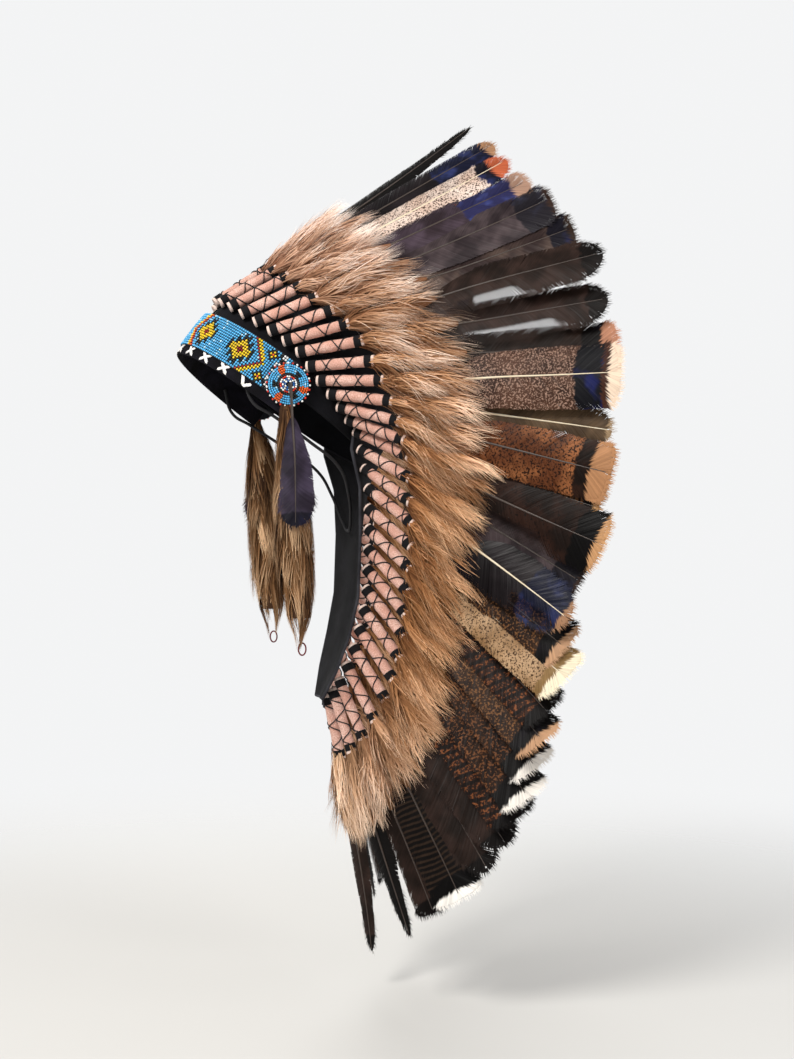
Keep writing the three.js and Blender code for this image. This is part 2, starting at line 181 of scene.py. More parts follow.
class Finish:
    def __init__(self, name, **fixed):
        self.material = bpy.data.materials.new(name)
        self.material.use_nodes = True
        self.tree = self.material.node_tree
        self.shader = self.tree.nodes["Principled BSDF"]
        for socket, value in fixed.items():
            self.shader.inputs[socket.replace("_", " ")].default_value = value

    def node(self, kind, settings=None, sockets=None, output=0):
        made = self.tree.nodes.new(kind)
        for key, value in (settings or {}).items():
            setattr(made, key, value)
        for key, value in (sockets or {}).items():
            self.feed(made.inputs[key], value)
        return Wire(self, made.outputs[output])

    def feed(self, socket, value):
        if isinstance(value, Wire):
            self.tree.links.new(value.socket, socket)
        elif isinstance(value, tuple) and socket.type == "RGBA":
            socket.default_value = (*value[:3], 1)
        else:
            socket.default_value = value

    def mix(self, factor, first, second, way="MIX"):
        kinds = {"data_type": "RGBA", "blend_type": way, "clamp_factor": True}
        return self.node("ShaderNodeMix", kinds, {0: factor, 6: first, 7: second}, 2)

    def place(self):
        """The point on the object, in metres."""
        return self.node("ShaderNodeTexCoord", output="Object")

    def noise(self, scale, detail=3.0, rough=0.55):
        sockets = {"Scale": scale, "Detail": detail, "Roughness": rough, "Vector": self.place()}
        return self.node("ShaderNodeTexNoise", None, sockets, "Fac")

    def layer(self, name):
        """The two numbers of a UV layer."""
        pair = self.node("ShaderNodeUVMap", {"uv_map": name})
        return [self.node("ShaderNodeSeparateXYZ", None, {0: pair}, i) for i in (0, 1)]

    def tint(self):
        """The colour that each point of the mesh carries."""
        return self.node("ShaderNodeAttribute", {"attribute_name": "tint"}, None, "Color")

    def barb(self):
        """The number from 0 to 1 that each barb carries as its tint."""
        return self.node("ShaderNodeSeparateColor", None, {0: self.tint()}, 0)

    def colour(self, value):
        self.feed(self.shader.inputs["Base Color"], value)
        return self

    def rough(self, value):
        self.feed(self.shader.inputs["Roughness"], value)
        return self

    def bumps(self, height, depth_mm):
        sockets = {"Height": height, "Distance": depth_mm * MM, "Strength": 1.0}
        self.feed(self.shader.inputs["Normal"], self.node("ShaderNodeBump", None, sockets))
        return self


def shade(code):
    """A colour from its usual six digits, as light rather than as screen values."""
    parts = [int(code[i : i + 2], 16) / 255 for i in (0, 2, 4)]
    return tuple(((p + 0.055) / 1.055) ** 2.4 if p > 0.04045 else p / 12.92 for p in parts)


def two_tone(name, dark, light, scale, detail, between=None, bump=0.0, **fixed):
    """A finish that wanders between two colours with a noise, which may be its bumps as well."""
    made = Finish(name, **fixed)
    grain = made.noise(scale, detail)
    share = grain.step(*between) if between else grain
    made.colour(made.mix(share, shade(dark), shade(light)))
    return made.bumps(grain, bump) if bump else made


# %% [markdown]
# ## One way to build meshes
# Almost everything here is made of strips: a barb, a strand of fur, a thread or a bead is a
# grid of points with a few rows. `Patchwork` collects many equal grids at once and turns them
# into a single mesh, which is far quicker than adding objects or faces one at a time.

# %% Patchwork
MIRROR = np.array([-1, 1, 1])
SIDES = (("left", 1), ("right", -1))


def circle(count):
    """Equal turns all the way round, in radians."""
    return np.arange(count) * 2 * math.pi / count


def lengths_of(line):
    """How far along a line of points each of them lies."""
    return np.r_[0, np.cumsum(np.linalg.norm(np.diff(line, axis=0), axis=1))]


class Patchwork:
    def __init__(self):
        self.points = []
        self.quads = []
        self.slots = []
        self.across = []
        self.tints = []
        self.normals = []
        self.count = 0

    def grids(self, points, slot=0, around=False, across=None, tint=(1, 1, 1), facing=(0, 0, 0)):
        """points is (how many, rows, columns, 3), in millimetres. facing gives soft strips the
        normals of the form that they cover together; zero leaves a strip its own."""
        points = np.asarray(points, float)
        if points.ndim == 3:
            points = points[None]
        n, rows, columns, _ = points.shape
        wide = columns if around else columns - 1
        i, j = np.meshgrid(np.arange(wide), np.arange(rows - 1))
        i, j = i.ravel(), j.ravel()
        k = (i + 1) % columns
        one = np.stack([j * columns + i, j * columns + k, (j + 1) * columns + k, (j + 1) * columns + i], 1)
        starts = self.count + np.arange(n)[:, None, None] * rows * columns
        self.quads.append((one[None] + starts).reshape(-1, 4))
        self.slots.append(np.full(n * len(one), slot))
        self.points.append(points.reshape(-1, 3))
        if across is None:
            across = np.zeros((1, 1, 1, 2))
        self.across.append(np.broadcast_to(across, (n, rows, columns, 2)).reshape(-1, 2))
        self.tints.append(np.broadcast_to(tint, (n, rows, columns, 3)).reshape(-1, 3))
        self.normals.append(np.broadcast_to(facing, (n, rows, columns, 3)).reshape(-1, 3))
        self.count += n * rows * columns

    def closed(self, points, slot=0, **more):
        """Grids whose last column meets the first one."""
        self.grids(points, slot, around=True, **more)

    def tube(self, line, radius, sides=8, out=None, slot=0):
        self.closed(tubes(line, radius, sides, out), slot)

    def mirror(self):
        """Turns everything over to the wearer's right side."""
        self.points = [points * MIRROR for points in self.points]
        self.normals = [normals * MIRROR for normals in self.normals]
        self.quads = [quads[:, ::-1] for quads in self.quads]

    def mesh(self, name, finishes):
        points = np.concatenate(self.points) * MM
        quads = np.concatenate(self.quads)
        data = bpy.data.meshes.new(name)
        data.vertices.add(len(points))
        data.vertices.foreach_set("co", points.ravel())
        data.loops.add(quads.size)
        data.loops.foreach_set("vertex_index", quads.ravel())
        data.polygons.add(len(quads))
        data.polygons.foreach_set("loop_start", np.arange(0, quads.size, 4))
        data.polygons.foreach_set("material_index", np.concatenate(self.slots))
        data.polygons.foreach_set("use_smooth", np.full(len(quads), True))
        layer = data.uv_layers.new(name="lay")
        layer.data.foreach_set("uv", np.concatenate(self.across)[quads.ravel()].ravel())
        tints = np.concatenate(self.tints)
        colours = data.color_attributes.new("tint", "FLOAT_COLOR", "POINT")
        colours.data.foreach_set("color", np.c_[tints, np.ones(len(tints))].ravel())
        for finish in finishes:
            data.materials.append(finish.material)
        data.update(calc_edges=True)
        data.validate()
        given = np.concatenate(self.normals)
        if given.any():
            own = np.zeros((len(points), 3), np.float32)
            data.vertex_normals.foreach_get("vector", own.ravel())
            bare = ~given.any(axis=1)
            given[bare] = own[bare]
            data.normals_split_custom_set_from_vertices(unit(given))
        made = bpy.data.objects.new(name, data)
        bpy.context.collection.objects.link(made)
        return made


def unit(v):
    v = np.asarray(v, float)
    return v / np.maximum(np.linalg.norm(v, axis=-1, keepdims=True), 1e-9)


def tubes(centres, radius, sides=8, out=None):
    """Round tubes along lines of points: centres is (how many, rows, 3)."""
    centres = np.asarray(centres, float)
    if centres.ndim == 2:
        centres = centres[None]
    ahead = unit(np.gradient(centres, axis=1))
    first = np.broadcast_to((0.31, 0.17, 0.93) if out is None else out, ahead.shape)
    beside = unit(np.cross(ahead, first))
    over = np.cross(beside, ahead)
    turn = circle(sides)
    radius = np.broadcast_to(np.asarray(radius, float), centres.shape[:2])[..., None, None]
    ring = np.cos(turn)[:, None] * beside[:, :, None] + np.sin(turn)[:, None] * over[:, :, None]
    return centres[:, :, None] + radius * ring


def finish_piece(made, slot, *nodes):
    """Puts a piece on the one body, and hides the CAD nodes that it stands for. slot is not used."""
    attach(made, "root")
    if nodes:
        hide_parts(*nodes)
    return made


print("helpers ready")

# %% [markdown]
# ## Nape cord
# A thin black braided cord is sewn inside the band at each temple and hangs in a loop behind
# the neck. It is a free cord, so it is made first, along the same listed points as its solid,
# as a curve with a round section.

# %% The head's form
TILT = math.radians(36)
CAP = {"half_length": 105, "half_width": 84, "crown": 112, "fullness": 2.2, "wall": 2}
BAND_OUT = 0.8


def tilted(v):
    x, y, z = v[..., 0], v[..., 1], v[..., 2]
    c, s = math.cos(TILT), math.sin(TILT)
    return np.stack([x, y * c + z * s, z * c - y * s], -1)


def cap_scale(height):
    up = np.maximum(0, height) / CAP["crown"]
    return np.maximum(1 - up ** CAP["fullness"], 0) ** (1 / CAP["fullness"])


def cap_normal(turn, height):
    size = cap_scale(height) ** (CAP["fullness"] - 1)
    up = (np.maximum(0, height) / CAP["crown"]) ** (CAP["fullness"] - 1)
    x = size * np.sin(turn) / CAP["half_width"]
    y = -size * np.cos(turn) / CAP["half_length"]
    return tilted(unit(np.stack(np.broadcast_arrays(x, y, up / CAP["crown"]), -1)))


def cap_point(turn, height, out=0.0):
    size = cap_scale(height)
    x = CAP["half_width"] * size * np.sin(turn)
    y = -CAP["half_length"] * size * np.cos(turn)
    level = np.stack(np.broadcast_arrays(x, y, height), -1).astype(float)
    return tilted(level) + cap_normal(turn, height) * np.asarray(out, float)[..., None]


# %% Cord
CORD = {"diameter": 3.0, "turn": math.radians(62), "height": -14, "seat": 0.6}
NAPE_CORD = [
    (73.5, -40, -6),
    (73, -23, -17),
    (67, 12, -40),
    (56, 43, -64),
    (42, 54, -87),
    (22, 60, -111),
    (0, 62, -122),
]

cord_cloth = two_tone("cord_braid", "070709", "232328", 1500, 1.0, bump=0.25, Roughness=0.7)


def nape_cord():
    inside = BAND_OUT - CORD["seat"] - CORD["diameter"] / 2
    sewn = cap_point(CORD["turn"], CORD["height"], inside)
    left = [tuple(sewn)] + NAPE_CORD
    route = left + [(-x, y, z) for x, y, z in reversed(left[:-1])]
    data = bpy.data.curves.new("nape_cord_braid", "CURVE")
    data.dimensions = "3D"
    data.bevel_depth = CORD["diameter"] / 2 * MM
    data.bevel_resolution = 3
    data.use_fill_caps = True
    line = data.splines.new("BEZIER")
    line.bezier_points.add(len(route) - 1)
    for knot, place in zip(line.bezier_points, route):
        knot.co = np.array(place) * MM
        knot.handle_left_type = knot.handle_right_type = "AUTO"
    data.materials.append(cord_cloth.material)
    cord = bpy.data.objects.new("nape_cord_braid", data)
    bpy.context.collection.objects.link(cord)
    finish_piece(cord, "cord", "nape_cord")
    [c * MM for c in route[0]]


nape_cord()

# %% [markdown]
# ## Cap
# The cap is sewn from black cotton: a dome with four panels and a rolled hem. Two grids,
# one outside and one inside, follow the head's form, and thin raised seams run over the
# crown. The weave is too fine to model, so it is a bump made from two crossed waves.

# %% Cloth finish
def woven(name, dark, light, pitch_mm=0.9, depth=0.12):
    made = Finish(name, Roughness=0.95, Specular_IOR_Level=0.2)
    at = made.place()
    x, y, z = (made.node("ShaderNodeSeparateXYZ", None, {0: at}, i) for i in range(3))
    turns = 2 * math.pi / (pitch_mm * MM)
    threads = (z * turns).sine() * ((x + y) * turns).sine()
    wear = made.noise(35, 4, 0.6)
    colour = made.mix(wear.step(0.3, 0.75), shade(dark), shade(light))
    made.colour(made.mix(threads.step(-1, 1) * 0.35, colour, shade(dark)))
    return made.bumps(threads * 0.5 + made.noise(900, 2) * 0.5, depth)


cap_cloth = woven("cap_cotton", "09090c", "15151b")


# %% Cap shape
def cap():
    patch = Patchwork()
    turns = np.linspace(0, 2 * math.pi, 97)[:-1]
    rise = CAP["crown"] * np.sin(np.linspace(0, math.pi / 2, 22) ** 0.9 * (math.pi / 2) ** 0.1)
    rise = np.minimum(rise, CAP["crown"] * 0.9995)
    t, h = np.meshgrid(turns, rise)
    patch.closed(cap_point(t, h, -0.2))
    patch.closed(cap_point(t, h, -CAP["wall"])[:, ::-1])
    rim = cap_point(turns, 0 * turns - 0.2, -0.9)
    loop = np.concatenate([rim, rim[:1]])
    patch.tube(loop, 1.5, 8, cap_normal(np.r_[turns, 0], 0 * np.r_[turns, 0]))
    for turn in np.radians((0, 90, 180, 270)):
        line = cap_point(np.full(len(rise), turn), rise, 0.1)
        patch.tube(line, 0.7, 6, (0.3, 0.2, 1))
    return finish_piece(patch.mesh("cap_sewn", [cap_cloth]), "cap_cloth", "cap")


print("cap:", len(cap().data.polygons), "faces")

# %% [markdown]
# ## Brow band and its lacing
# A band of black suede is wrapped round the front from temple to temple. Below the beads
# it is laced with flat white thongs: a row of crosses, and a V before each rosette. The band is
# one rounded section swept round the head, and each thong is a flat strip with pointed ends
# that rises where it passes over the other one.

# %% Band
BAND = {"low": -24.0, "high": 23.0, "reach": math.radians(88), "out": BAND_OUT, "wall": 2.0}
STRIP = {"low": -15.0, "high": 22.0, "reach": math.radians(80), "out": 3.3}

black_suede = Finish("band_suede", Roughness=0.95, Specular_IOR_Level=0.2)
rub = black_suede.noise(55, 4)
grain = black_suede.noise(1300, 3)
black_suede.colour(black_suede.mix(rub.step(0.35, 0.75), shade("08070b"), shade("17151f")))
black_suede.bumps(grain, 0.2)


def swept(section, reach, columns):
    """A closed section of (height, out) rows swept round the brow."""
    turn = np.linspace(-reach, reach, columns)
    height, out = np.array(section, float).T
    t, h = np.meshgrid(turn, height, indexing="ij")
    return cap_point(t, h, np.broadcast_to(out, t.shape))


def rounded(low, high, near, far, soft=0.7):
    return [
        (low + soft, near), (low, near + soft), (low, far - soft), (low + soft, far),
        (high - soft, far), (high, far - soft), (high, near + soft), (high - soft, near),
    ]


def brow_band():
    patch = Patchwork()
    far = BAND["out"] + BAND["wall"]
    section = rounded(BAND["low"], BAND["high"], BAND["out"], far)
    patch.closed(swept(section, BAND["reach"], 90))
    for side in (1, -1):
        height, out = np.array(section).T
        ring = cap_point(np.full(8, side * BAND["reach"]), height, out)
        patch.grids(np.stack([ring[:4], ring[:3:-1]]), 0)
    seam = cap_point(*np.meshgrid(np.linspace(-BAND["reach"], BAND["reach"], 90), [BAND["low"] + 2]), far)
    patch.tube(seam[0], 0.45, 5, (0, 0, 1))
    return finish_piece(patch.mesh("brow_band_suede", [black_suede]), "band_suede", "brow_band")


print("brow band:", len(brow_band().data.polygons), "faces")

# %% Lacing
# Arc length round the brow at the lacing's height, for places given in millimetres.
TURNS = np.linspace(0, math.pi / 2, 400)
ARC_POINTS = cap_point(TURNS, 0 * TURNS, np.full(400, 4.0))
ARCS = lengths_of(ARC_POINTS)


def turn_at(arc):
    """The turn from the front at an arc length; behind zero is the wearer's right."""
    return np.sign(arc) * np.interp(np.abs(arc), ARCS, TURNS)


LACING = {"first": 12.0, "pitch": 24.0, "count": 4, "half": 5.6, "low": -23.0, "high": -13.5, "width": 2.9}

SCUFFED = {"between": (0.35, 0.7), "bump": 0.15}
thong = two_tone("white_thong", "dcd7d0", "ffffff", 400, 3, **SCUFFED, Roughness=0.75, Sheen_Weight=0.3)


def thong_strip(patch, arcs, heights, over):
    """A flat strip from one place on the band to another. over lifts its middle."""
    q = np.linspace(0, 1, 13)
    arc = np.interp(q, (0, 1), arcs)
    height = np.interp(q, (0, 1), heights)
    far = BAND["out"] + BAND["wall"]
    lift = far + 0.5 + over * np.exp(-(((q - 0.5) / 0.2) ** 2))
    lift = lift - 0.9 * (np.abs(q - 0.5) > 0.47)
    middle = cap_point(turn_at(arc), height, lift)
    normal = cap_normal(turn_at(arc), height)
    beside = unit(np.cross(np.gradient(middle, axis=0), normal))
    half = LACING["width"] / 2 * np.clip(np.minimum(q, 1 - q) * 9, 0.12, 1)[:, None] * beside
    top, low = normal * 0.35, -normal * 0.35
    section = [
        half + low, half + 0.6 * top, 0.5 * half + top,
        -0.5 * half + top, -half + 0.6 * top, -half + low,
    ]
    patch.closed(np.stack([middle + edge for edge in section], 1))


def lacing():
    patch = Patchwork()
    low, high, half = LACING["low"], LACING["high"], LACING["half"]
    for side in (1, -1):
        for i in range(LACING["count"]):
            arc = side * (LACING["first"] + i * LACING["pitch"])
            lean = DRAW.normal(0, 0.5, 4)
            thong_strip(patch, (arc - half + lean[0], arc + half + lean[1]), (low, high), 0.0)
            thong_strip(patch, (arc + half + lean[2], arc - half + lean[3]), (low, high), 0.8)
        arc = side * (LACING["first"] + LACING["count"] * LACING["pitch"])
        thong_strip(patch, (arc + side, arc - side * half), (low, high + 1), 0.0)
        thong_strip(patch, (arc + side, arc + side * half * 1.3), (low, high - 4), 0.3)
    return finish_piece(patch.mesh("lacing", [thong]), "band_suede")


print("lacing:", len(lacing().data.polygons), "faces")

# %% [markdown]
# ## Beadwork
# The strip is woven on a loom: glass seed beads lie in straight columns across the band, with
# a dark thread between the rows. The pattern is a chart. Each figure below is a rule in
# bead counts: stepped stars, chevrons and small diamonds on a light blue field, the same on
# both sides of the brow. Every bead is a small barrel that carries its own colour and turns it
# slightly, because no two glass beads are quite alike.

# %% Beads
BEAD = {"pitch": 2.4, "radius": 1.02, "half": 0.95}
GLASS = {
    "blue": "55b4e8", "pale": "b4e0f6", "deep": "2461a8", "white": "f2f4f2", "yellow": "f0cd1e",
    "orange": "e2601c", "red": "8e1418", "bright": "d3301c", "black": "0b0b10",
}


def glass_colours(names):
    """The colour of each bead, with the small differences that glass beads have."""
    colours = np.array([shade(GLASS[name]) for name in names])
    return colours * DRAW.uniform(0.84, 1.14, (len(names), 1)) + DRAW.uniform(0, 0.012, (len(names), 3))


def beads(patch, centres, axes, spokes, names, size=1.0):
    """Barrels at the centres, with the hole along the axes."""
    third = np.cross(axes, spokes)
    rows = np.array([(-1, 0.55), (-0.62, 0.94), (0.62, 0.94), (1, 0.55)])
    turn = circle(7)
    ring = np.cos(turn)[:, None, None] * spokes + np.sin(turn)[:, None, None] * third
    scale = DRAW.uniform(0.93, 1.05, (len(centres), 1)) * size
    points = [
        centres + axes * along * BEAD["half"] * scale + ring * wide * BEAD["radius"] * scale
        for along, wide in rows
    ]
    points = np.moveaxis(np.array(points), 2, 0)
    patch.closed(points, tint=glass_colours(names)[:, None, None])


glass = Finish("bead_glass", Roughness=0.3, Specular_IOR_Level=0.4, Coat_Weight=0.15, Coat_Roughness=0.2)
glass.colour(glass.tint())
backing = two_tone("bead_backing", "05070c", "0d1622", 800, 2, Roughness=0.9)

# %% Bead chart
STARS = (17, 36)
CHEVRONS = {"front_apex": 7, "front_slope": 0.7, "rear_apex": 46.5, "rear_slope": 0.95}
DIAMONDS = {"column": 48, "row": 5}
# From this column on, the field is chequered white, blue and black: the blue and black beads are the field's
# own, and the white ones are painted highlights that stand for glints on the glass.
CHECKS_AND_GLINTS_FROM = 51


def bead_name(column, row):
    """The glass at a column from the brow's middle and a row from the strip's middle."""
    column = abs(column)
    for star in STARS:
        c = abs(column - star)
        if c + abs(row) <= 1:
            return "red"
        if c + abs(row) <= 4 or (abs(row) <= 1 and c <= 4):
            return "yellow"
        if c + abs(row) <= 5 or (c + abs(row) <= 7 and c % 2 == 1 and abs(row) > 0):
            return "black"
    front = column - CHEVRONS["front_apex"] - CHEVRONS["front_slope"] * abs(row)
    for low, name in ((-1.2, "yellow"), (0, "orange"), (1.2, "red")):
        if low <= front < low + 1.2:
            return name
    rear = CHEVRONS["rear_apex"] - CHEVRONS["rear_slope"] * abs(row) - column
    for low, name in ((-1.4, "yellow"), (0, "red")):
        if low <= rear < low + 1.4:
            return name
    c, r = column - DIAMONDS["column"], abs(row) - DIAMONDS["row"]
    if abs(c) + abs(r) == 0:
        return "orange"
    if abs(c) + abs(r) <= 1:
        return "yellow"
    if abs(c) + abs(r) <= 2.2:
        return "black"
    # Painted highlights: the white beads of this chequer stand for glints on the glass.
    if column >= CHECKS_AND_GLINTS_FROM:
        return ("white", "blue", "black")[int(column // 2 + (row + 20) // 2) % 3]
    return "pale" if DRAW.random() < 0.05 else "blue"


def bead_strip():
    patch = Patchwork()
    count = int((STRIP["high"] - STRIP["low"]) / BEAD["pitch"])
    limit = int(np.interp(STRIP["reach"], TURNS, ARCS) / BEAD["pitch"])
    columns = np.arange(-limit, limit + 1)
    rows = np.arange(count) - (count - 1) / 2
    c, r = (grid.ravel() for grid in np.meshgrid(columns, rows))
    turn = turn_at(c * BEAD["pitch"])
    height = (STRIP["low"] + STRIP["high"]) / 2 + r * BEAD["pitch"]
    out = STRIP["out"] + 1.15 + DRAW.normal(0, 0.05, len(c))
    centres = cap_point(turn, height, out)
    up = unit(cap_point(turn, height + 0.5, out) - cap_point(turn, height - 0.5, out))
    normal = cap_normal(turn, height)
    names = [bead_name(column, row) for column, row in zip(c, r)]
    beads(patch, centres, up, normal, names)
    section = rounded(STRIP["low"], STRIP["high"], STRIP["out"] - 0.4, STRIP["out"] + 0.9, 0.3)
    patch.closed(swept(section, STRIP["reach"], 90), 1)
    made = patch.mesh("bead_strip_woven", [glass, backing])
    print("bead strip:", len(names), "beads")
    return finish_piece(made, "strip_beads", "bead_strip")


bead_strip()

# %% [markdown]
# ## Rosettes
# A rosette is a disc of felt with rings of beads sewn round it. Its figure is told by the
# distance from the middle and the angle: a dark eye, a blue and white ring, a white and red
# ring, a black ring, then a blue field with three orange wedges and three black ones. A loose
# edging of white and red beads stands round it.

# %% Rosette chart
ROSETTE = {"turn": math.radians(83), "height": 1.0, "radius": 20.5, "dome": 1.4, "out": 5.8, "ring": 2.05}
EDGING_FROM = 0.93
# Columns: middle angle in degrees, half angle, from and to as shares of the radius, glass.
WEDGES = [
    (114, 13, 0.48, 0.95, "orange"),
    (-20, 13, 0.48, 0.95, "orange"),
    (231, 13, 0.48, 0.95, "orange"),
    (180, 14, 0.48, 0.74, "black"),
    (45, 14, 0.48, 0.74, "black"),
    (-65, 14, 0.48, 0.74, "black"),
]


def rosette_name(share, degrees, place):
    if share > EDGING_FROM:
        return ("white", "bright")[place // 2 % 2]
    if share < 0.14:
        return "black"
    if share < 0.27:
        return ("deep", "white")[place % 2]
    if share < 0.39:
        return ("white", "bright")[place // 2 % 2]
    if share < 0.48:
        return "black"
    for middle, half, low, high, name in WEDGES:
        away = abs((degrees - middle + 180) % 360 - 180)
        if low <= share < high and away < half * (1.1 - 0.35 * share):
            return name
    return "pale" if DRAW.random() < 0.05 else "blue"


# %% Rosette shape
def rosette(side, label):
    patch = Patchwork()
    turn = np.array(side * ROSETTE["turn"])
    height = np.array(ROSETTE["height"])
    normal = cap_normal(turn, height)
    centre = cap_point(turn, height, ROSETTE["out"])
    up = unit(np.array([0, 0, 1]) - normal * normal[2])
    right = np.cross(up, normal) * side
    names, centres, axes, spokes = [], [], [], []
    rings = int((ROSETTE["radius"] - 0.6) / ROSETTE["ring"])
    for ring in range(rings + 1):
        radius = 0.9 + ring * ROSETTE["ring"]
        count = max(1, int(round(2 * math.pi * radius / ROSETTE["ring"])))
        if ring == 0:
            radius, count = 0.0, 1
        for place in range(count):
            angle = 2 * math.pi * (place + 0.3 * ring) / count
            share = radius / ROSETTE["radius"]
            name = rosette_name(share, math.degrees(angle), place)
            if share > EDGING_FROM and place % 2 == 1:
                continue
            way = math.cos(angle) * right + math.sin(angle) * up
            lift = 2.0 + ROSETTE["dome"] * (1 - share**2)
            names.append(name)
            centres.append(centre + way * radius + normal * lift)
            axes.append(-math.sin(angle) * right + math.cos(angle) * up)
            spokes.append(normal)
    beads(patch, np.array(centres), np.array(axes), np.array(spokes), names, 0.92)
    turns = circle(40)
    felt = [(0.05, 2.4), (12, 2.0), (18.6, 0.9), (19.3, 0.4), (19.3, 0.0), (0.05, 0.0)]
    spread = np.cos(turns)[:, None] * right + np.sin(turns)[:, None] * up
    disc = np.array([centre + radius * spread + lift * normal for radius, lift in felt])
    patch.closed(disc if side > 0 else disc[:, ::-1], 1)
    made = patch.mesh(f"rosette_beaded_{label}", [glass, backing])
    return finish_piece(made, "rosette_beads", f"rosette_{label}")


for label, side in SIDES:
    print("rosette:", len(rosette(side, label).data.polygons), "faces")

# %% [markdown]
# ## The row of plumes
# The plumes are sewn side by side along one line: round the cap above the beads, then down the
# trailer's edge to its round end. Short tables say how the line runs and how each plume lies,
# and the same functions as in the solids turn them into a frame for every plume, so that the
# dressed plume grows exactly where its solid is. The right side is the left one mirrored.

# %% Tables of the trailer and the row
# Columns: y, z, half width, how far the edges stand forward, how far they are lifted.
TRAILER_SECTIONS = np.array([
    (91.5, -55, 70, 38, 27.6),
    (82.0, -70, 67, 31, 23),
    (75.0, -95, 61, 15, 13),
    (67.0, -130, 57, 6, 4),
    (63.0, -185, 57, 4, 2),
    (55.0, -222, 52, 4, 1),
    (44.5, -253, 40, 3, 0),
    (34.0, -280, 18, 1, 0),
])
TRAILER = {"wall": 2.4, "edge_inset": 2}
# Columns: turn from the front in degrees, height above the rim.
ROW_ON_CAP = np.array([(0, 36), (40, 32), (76, 31), (90, 22), (104, 16), (125, 7)])
# Columns: place in the row, pitch, flare and roll in degrees, overall length.
LIE = np.array([
    (0, 34.5, 0, 0, 306),
    (1, 31.5, 4, -28, 300),
    (3, 25.5, 12, -6, 286),
    (6, 15, 22, 24, 286),
    (9, -1.5, 29, 36, 270),
    (12, -25, 37, 38, 262),
    (15, -42, 40, 40, 252),
    (19, -52, 34, 40, 250),
    (24, -61.5, 26, 36, 238),
    (27, -75, 14, 22, 235),
    (28, -78.5, 0, 0, 250),
])
SLEEVE = {"length": 60.0, "radius": 4.6, "binding": 5.3, "binding_length": 7.0, "seat": 0.6}
PAIRS = 27
ON_HEAD = 13
SPREAD = 0.86
WINDOW = 3.5
FIRST_JOINED = 14


# %% Frames of the plumes
def trailer_point(across, down):
    shares = np.linspace(0, 1, len(TRAILER_SECTIONS))
    y, z, half, edge, lift = (np.interp(down, shares, column) for column in TRAILER_SECTIONS.T)
    x = half * across

    def bow(at):
        return 1 - np.sqrt(1 - (at / (CAP["half_width"] + 1)) ** 2)

    share = bow(x) / bow(half)
    return np.stack([x, y - edge * share, z + lift * share], -1)


def row_lines():
    stand = SLEEVE["binding"] + SLEEVE["seat"]
    turns = np.arange(0, ROW_ON_CAP[-1, 0] + 0.1, 2.5)
    heights = np.interp(turns, *ROW_ON_CAP.T)
    head = cap_point(np.radians(turns), heights, np.full(len(turns), stand))
    down = np.arange(0.16, 1.0001, 0.02)
    closing = np.sqrt(1 - (np.maximum(0, np.minimum(down, 1) - 0.9) / 0.1) ** 2)
    across = (1 - TRAILER["edge_inset"] / trailer_point(1.0, down)[:, 0]) * closing
    hanging = trailer_point(across, down) + (0, TRAILER["wall"] + stand, 0)
    return head, np.concatenate([head[-1:], hanging])


LINES = row_lines()


def along(line, share):
    lengths = lengths_of(line)
    return np.array([np.interp(share * lengths[-1], lengths, line[:, i]) for i in range(3)])


def row_point(place):
    """Past either end of the row it goes on up the other side of the headdress."""
    last = PAIRS + 1
    if place < 0:
        return row_point(-place) * MIRROR
    if place > last:
        return row_point(2 * last - place) * MIRROR
    if place <= ON_HEAD:
        return along(LINES[0], (place / ON_HEAD) ** SPREAD)
    return along(LINES[1], (place - ON_HEAD) / (last - ON_HEAD))


def about(v, axis, turn):
    """v turned about a unit axis."""
    c, s = math.cos(turn), math.sin(turn)
    return v * c + np.cross(axis, v) * s + axis * (axis @ v) * (1 - c)


class Plume:
    """Where one plume of the wearer's left side starts and how it lies."""

    def __init__(self, place):
        pitch, flare, roll, self.length = (np.interp(place, LIE[:, 0], row) for row in LIE.T[1:])
        pitch, flare, roll = np.radians((pitch, flare, roll))
        self.place = place
        self.base = row_point(place)
        following = row_point(place + WINDOW) - row_point(place - WINDOW)
        self.ahead = np.array([
            math.sin(flare),
            math.cos(flare) * math.cos(pitch),
            math.cos(flare) * math.sin(pitch),
        ])
        self.outward = unit(np.cross(following, self.ahead))
        self.beside = unit(np.cross(self.ahead, self.outward))
        self.across = about(self.beside, self.ahead, -roll)
        self.thick = np.cross(self.across, self.ahead)

    def at(self, reach):
        return self.base + self.ahead * np.asarray(reach, float)[..., None]

    def spokes(self, turn):
        """Directions from the quill's axis at some turns round it."""
        return np.cos(turn)[:, None] * self.beside + np.sin(turn)[:, None] * self.outward

    def turn_vane(self, turn):
        self.across = about(self.across, self.ahead, -turn)
        self.thick = np.cross(self.across, self.ahead)


ROW = [Plume(place) for place in range(PAIRS + 2)]


def room(place, reach):
    """Half the room between a plume and its nearer neighbour at a reach."""
    own = ROW[place]
    gaps = []
    for other in (place - 1, place + 1):
        if 0 <= other < len(ROW):
            gap = ROW[other].at(reach) - own.at(reach)
            gaps.append(np.linalg.norm(gap - own.ahead * (gap @ own.ahead)))
    return 0.5 * min(gaps)


print("plumes in the row:", 2 * PAIRS + 2)

# %% [markdown]
# ## Wrapped quills
# Each quill is wrapped in pinkish suede. Black yarn is wound round both ends, the pale cut
# edge of the suede shows beyond it, and one thin black thread crosses itself up the sleeve.
# All of these are rings of points along one axis, so each is a row in the list below, and the
# thread is a pair of helices that turn opposite ways.

# %% Sleeve finishes
suede = Finish("sleeve_suede", Roughness=0.92, Specular_IOR_Level=0.25)
nap = suede.noise(900, 4, 0.65)
stain = suede.noise(60, 2, 0.5)
clean = suede.mix(stain.step(0.35, 0.7), shade("dfae9e"), shade("f8d8cb"))
suede.colour(suede.mix(nap.step(0.3, 0.75), shade("bd8b7a"), clean)).bumps(nap, 0.35)

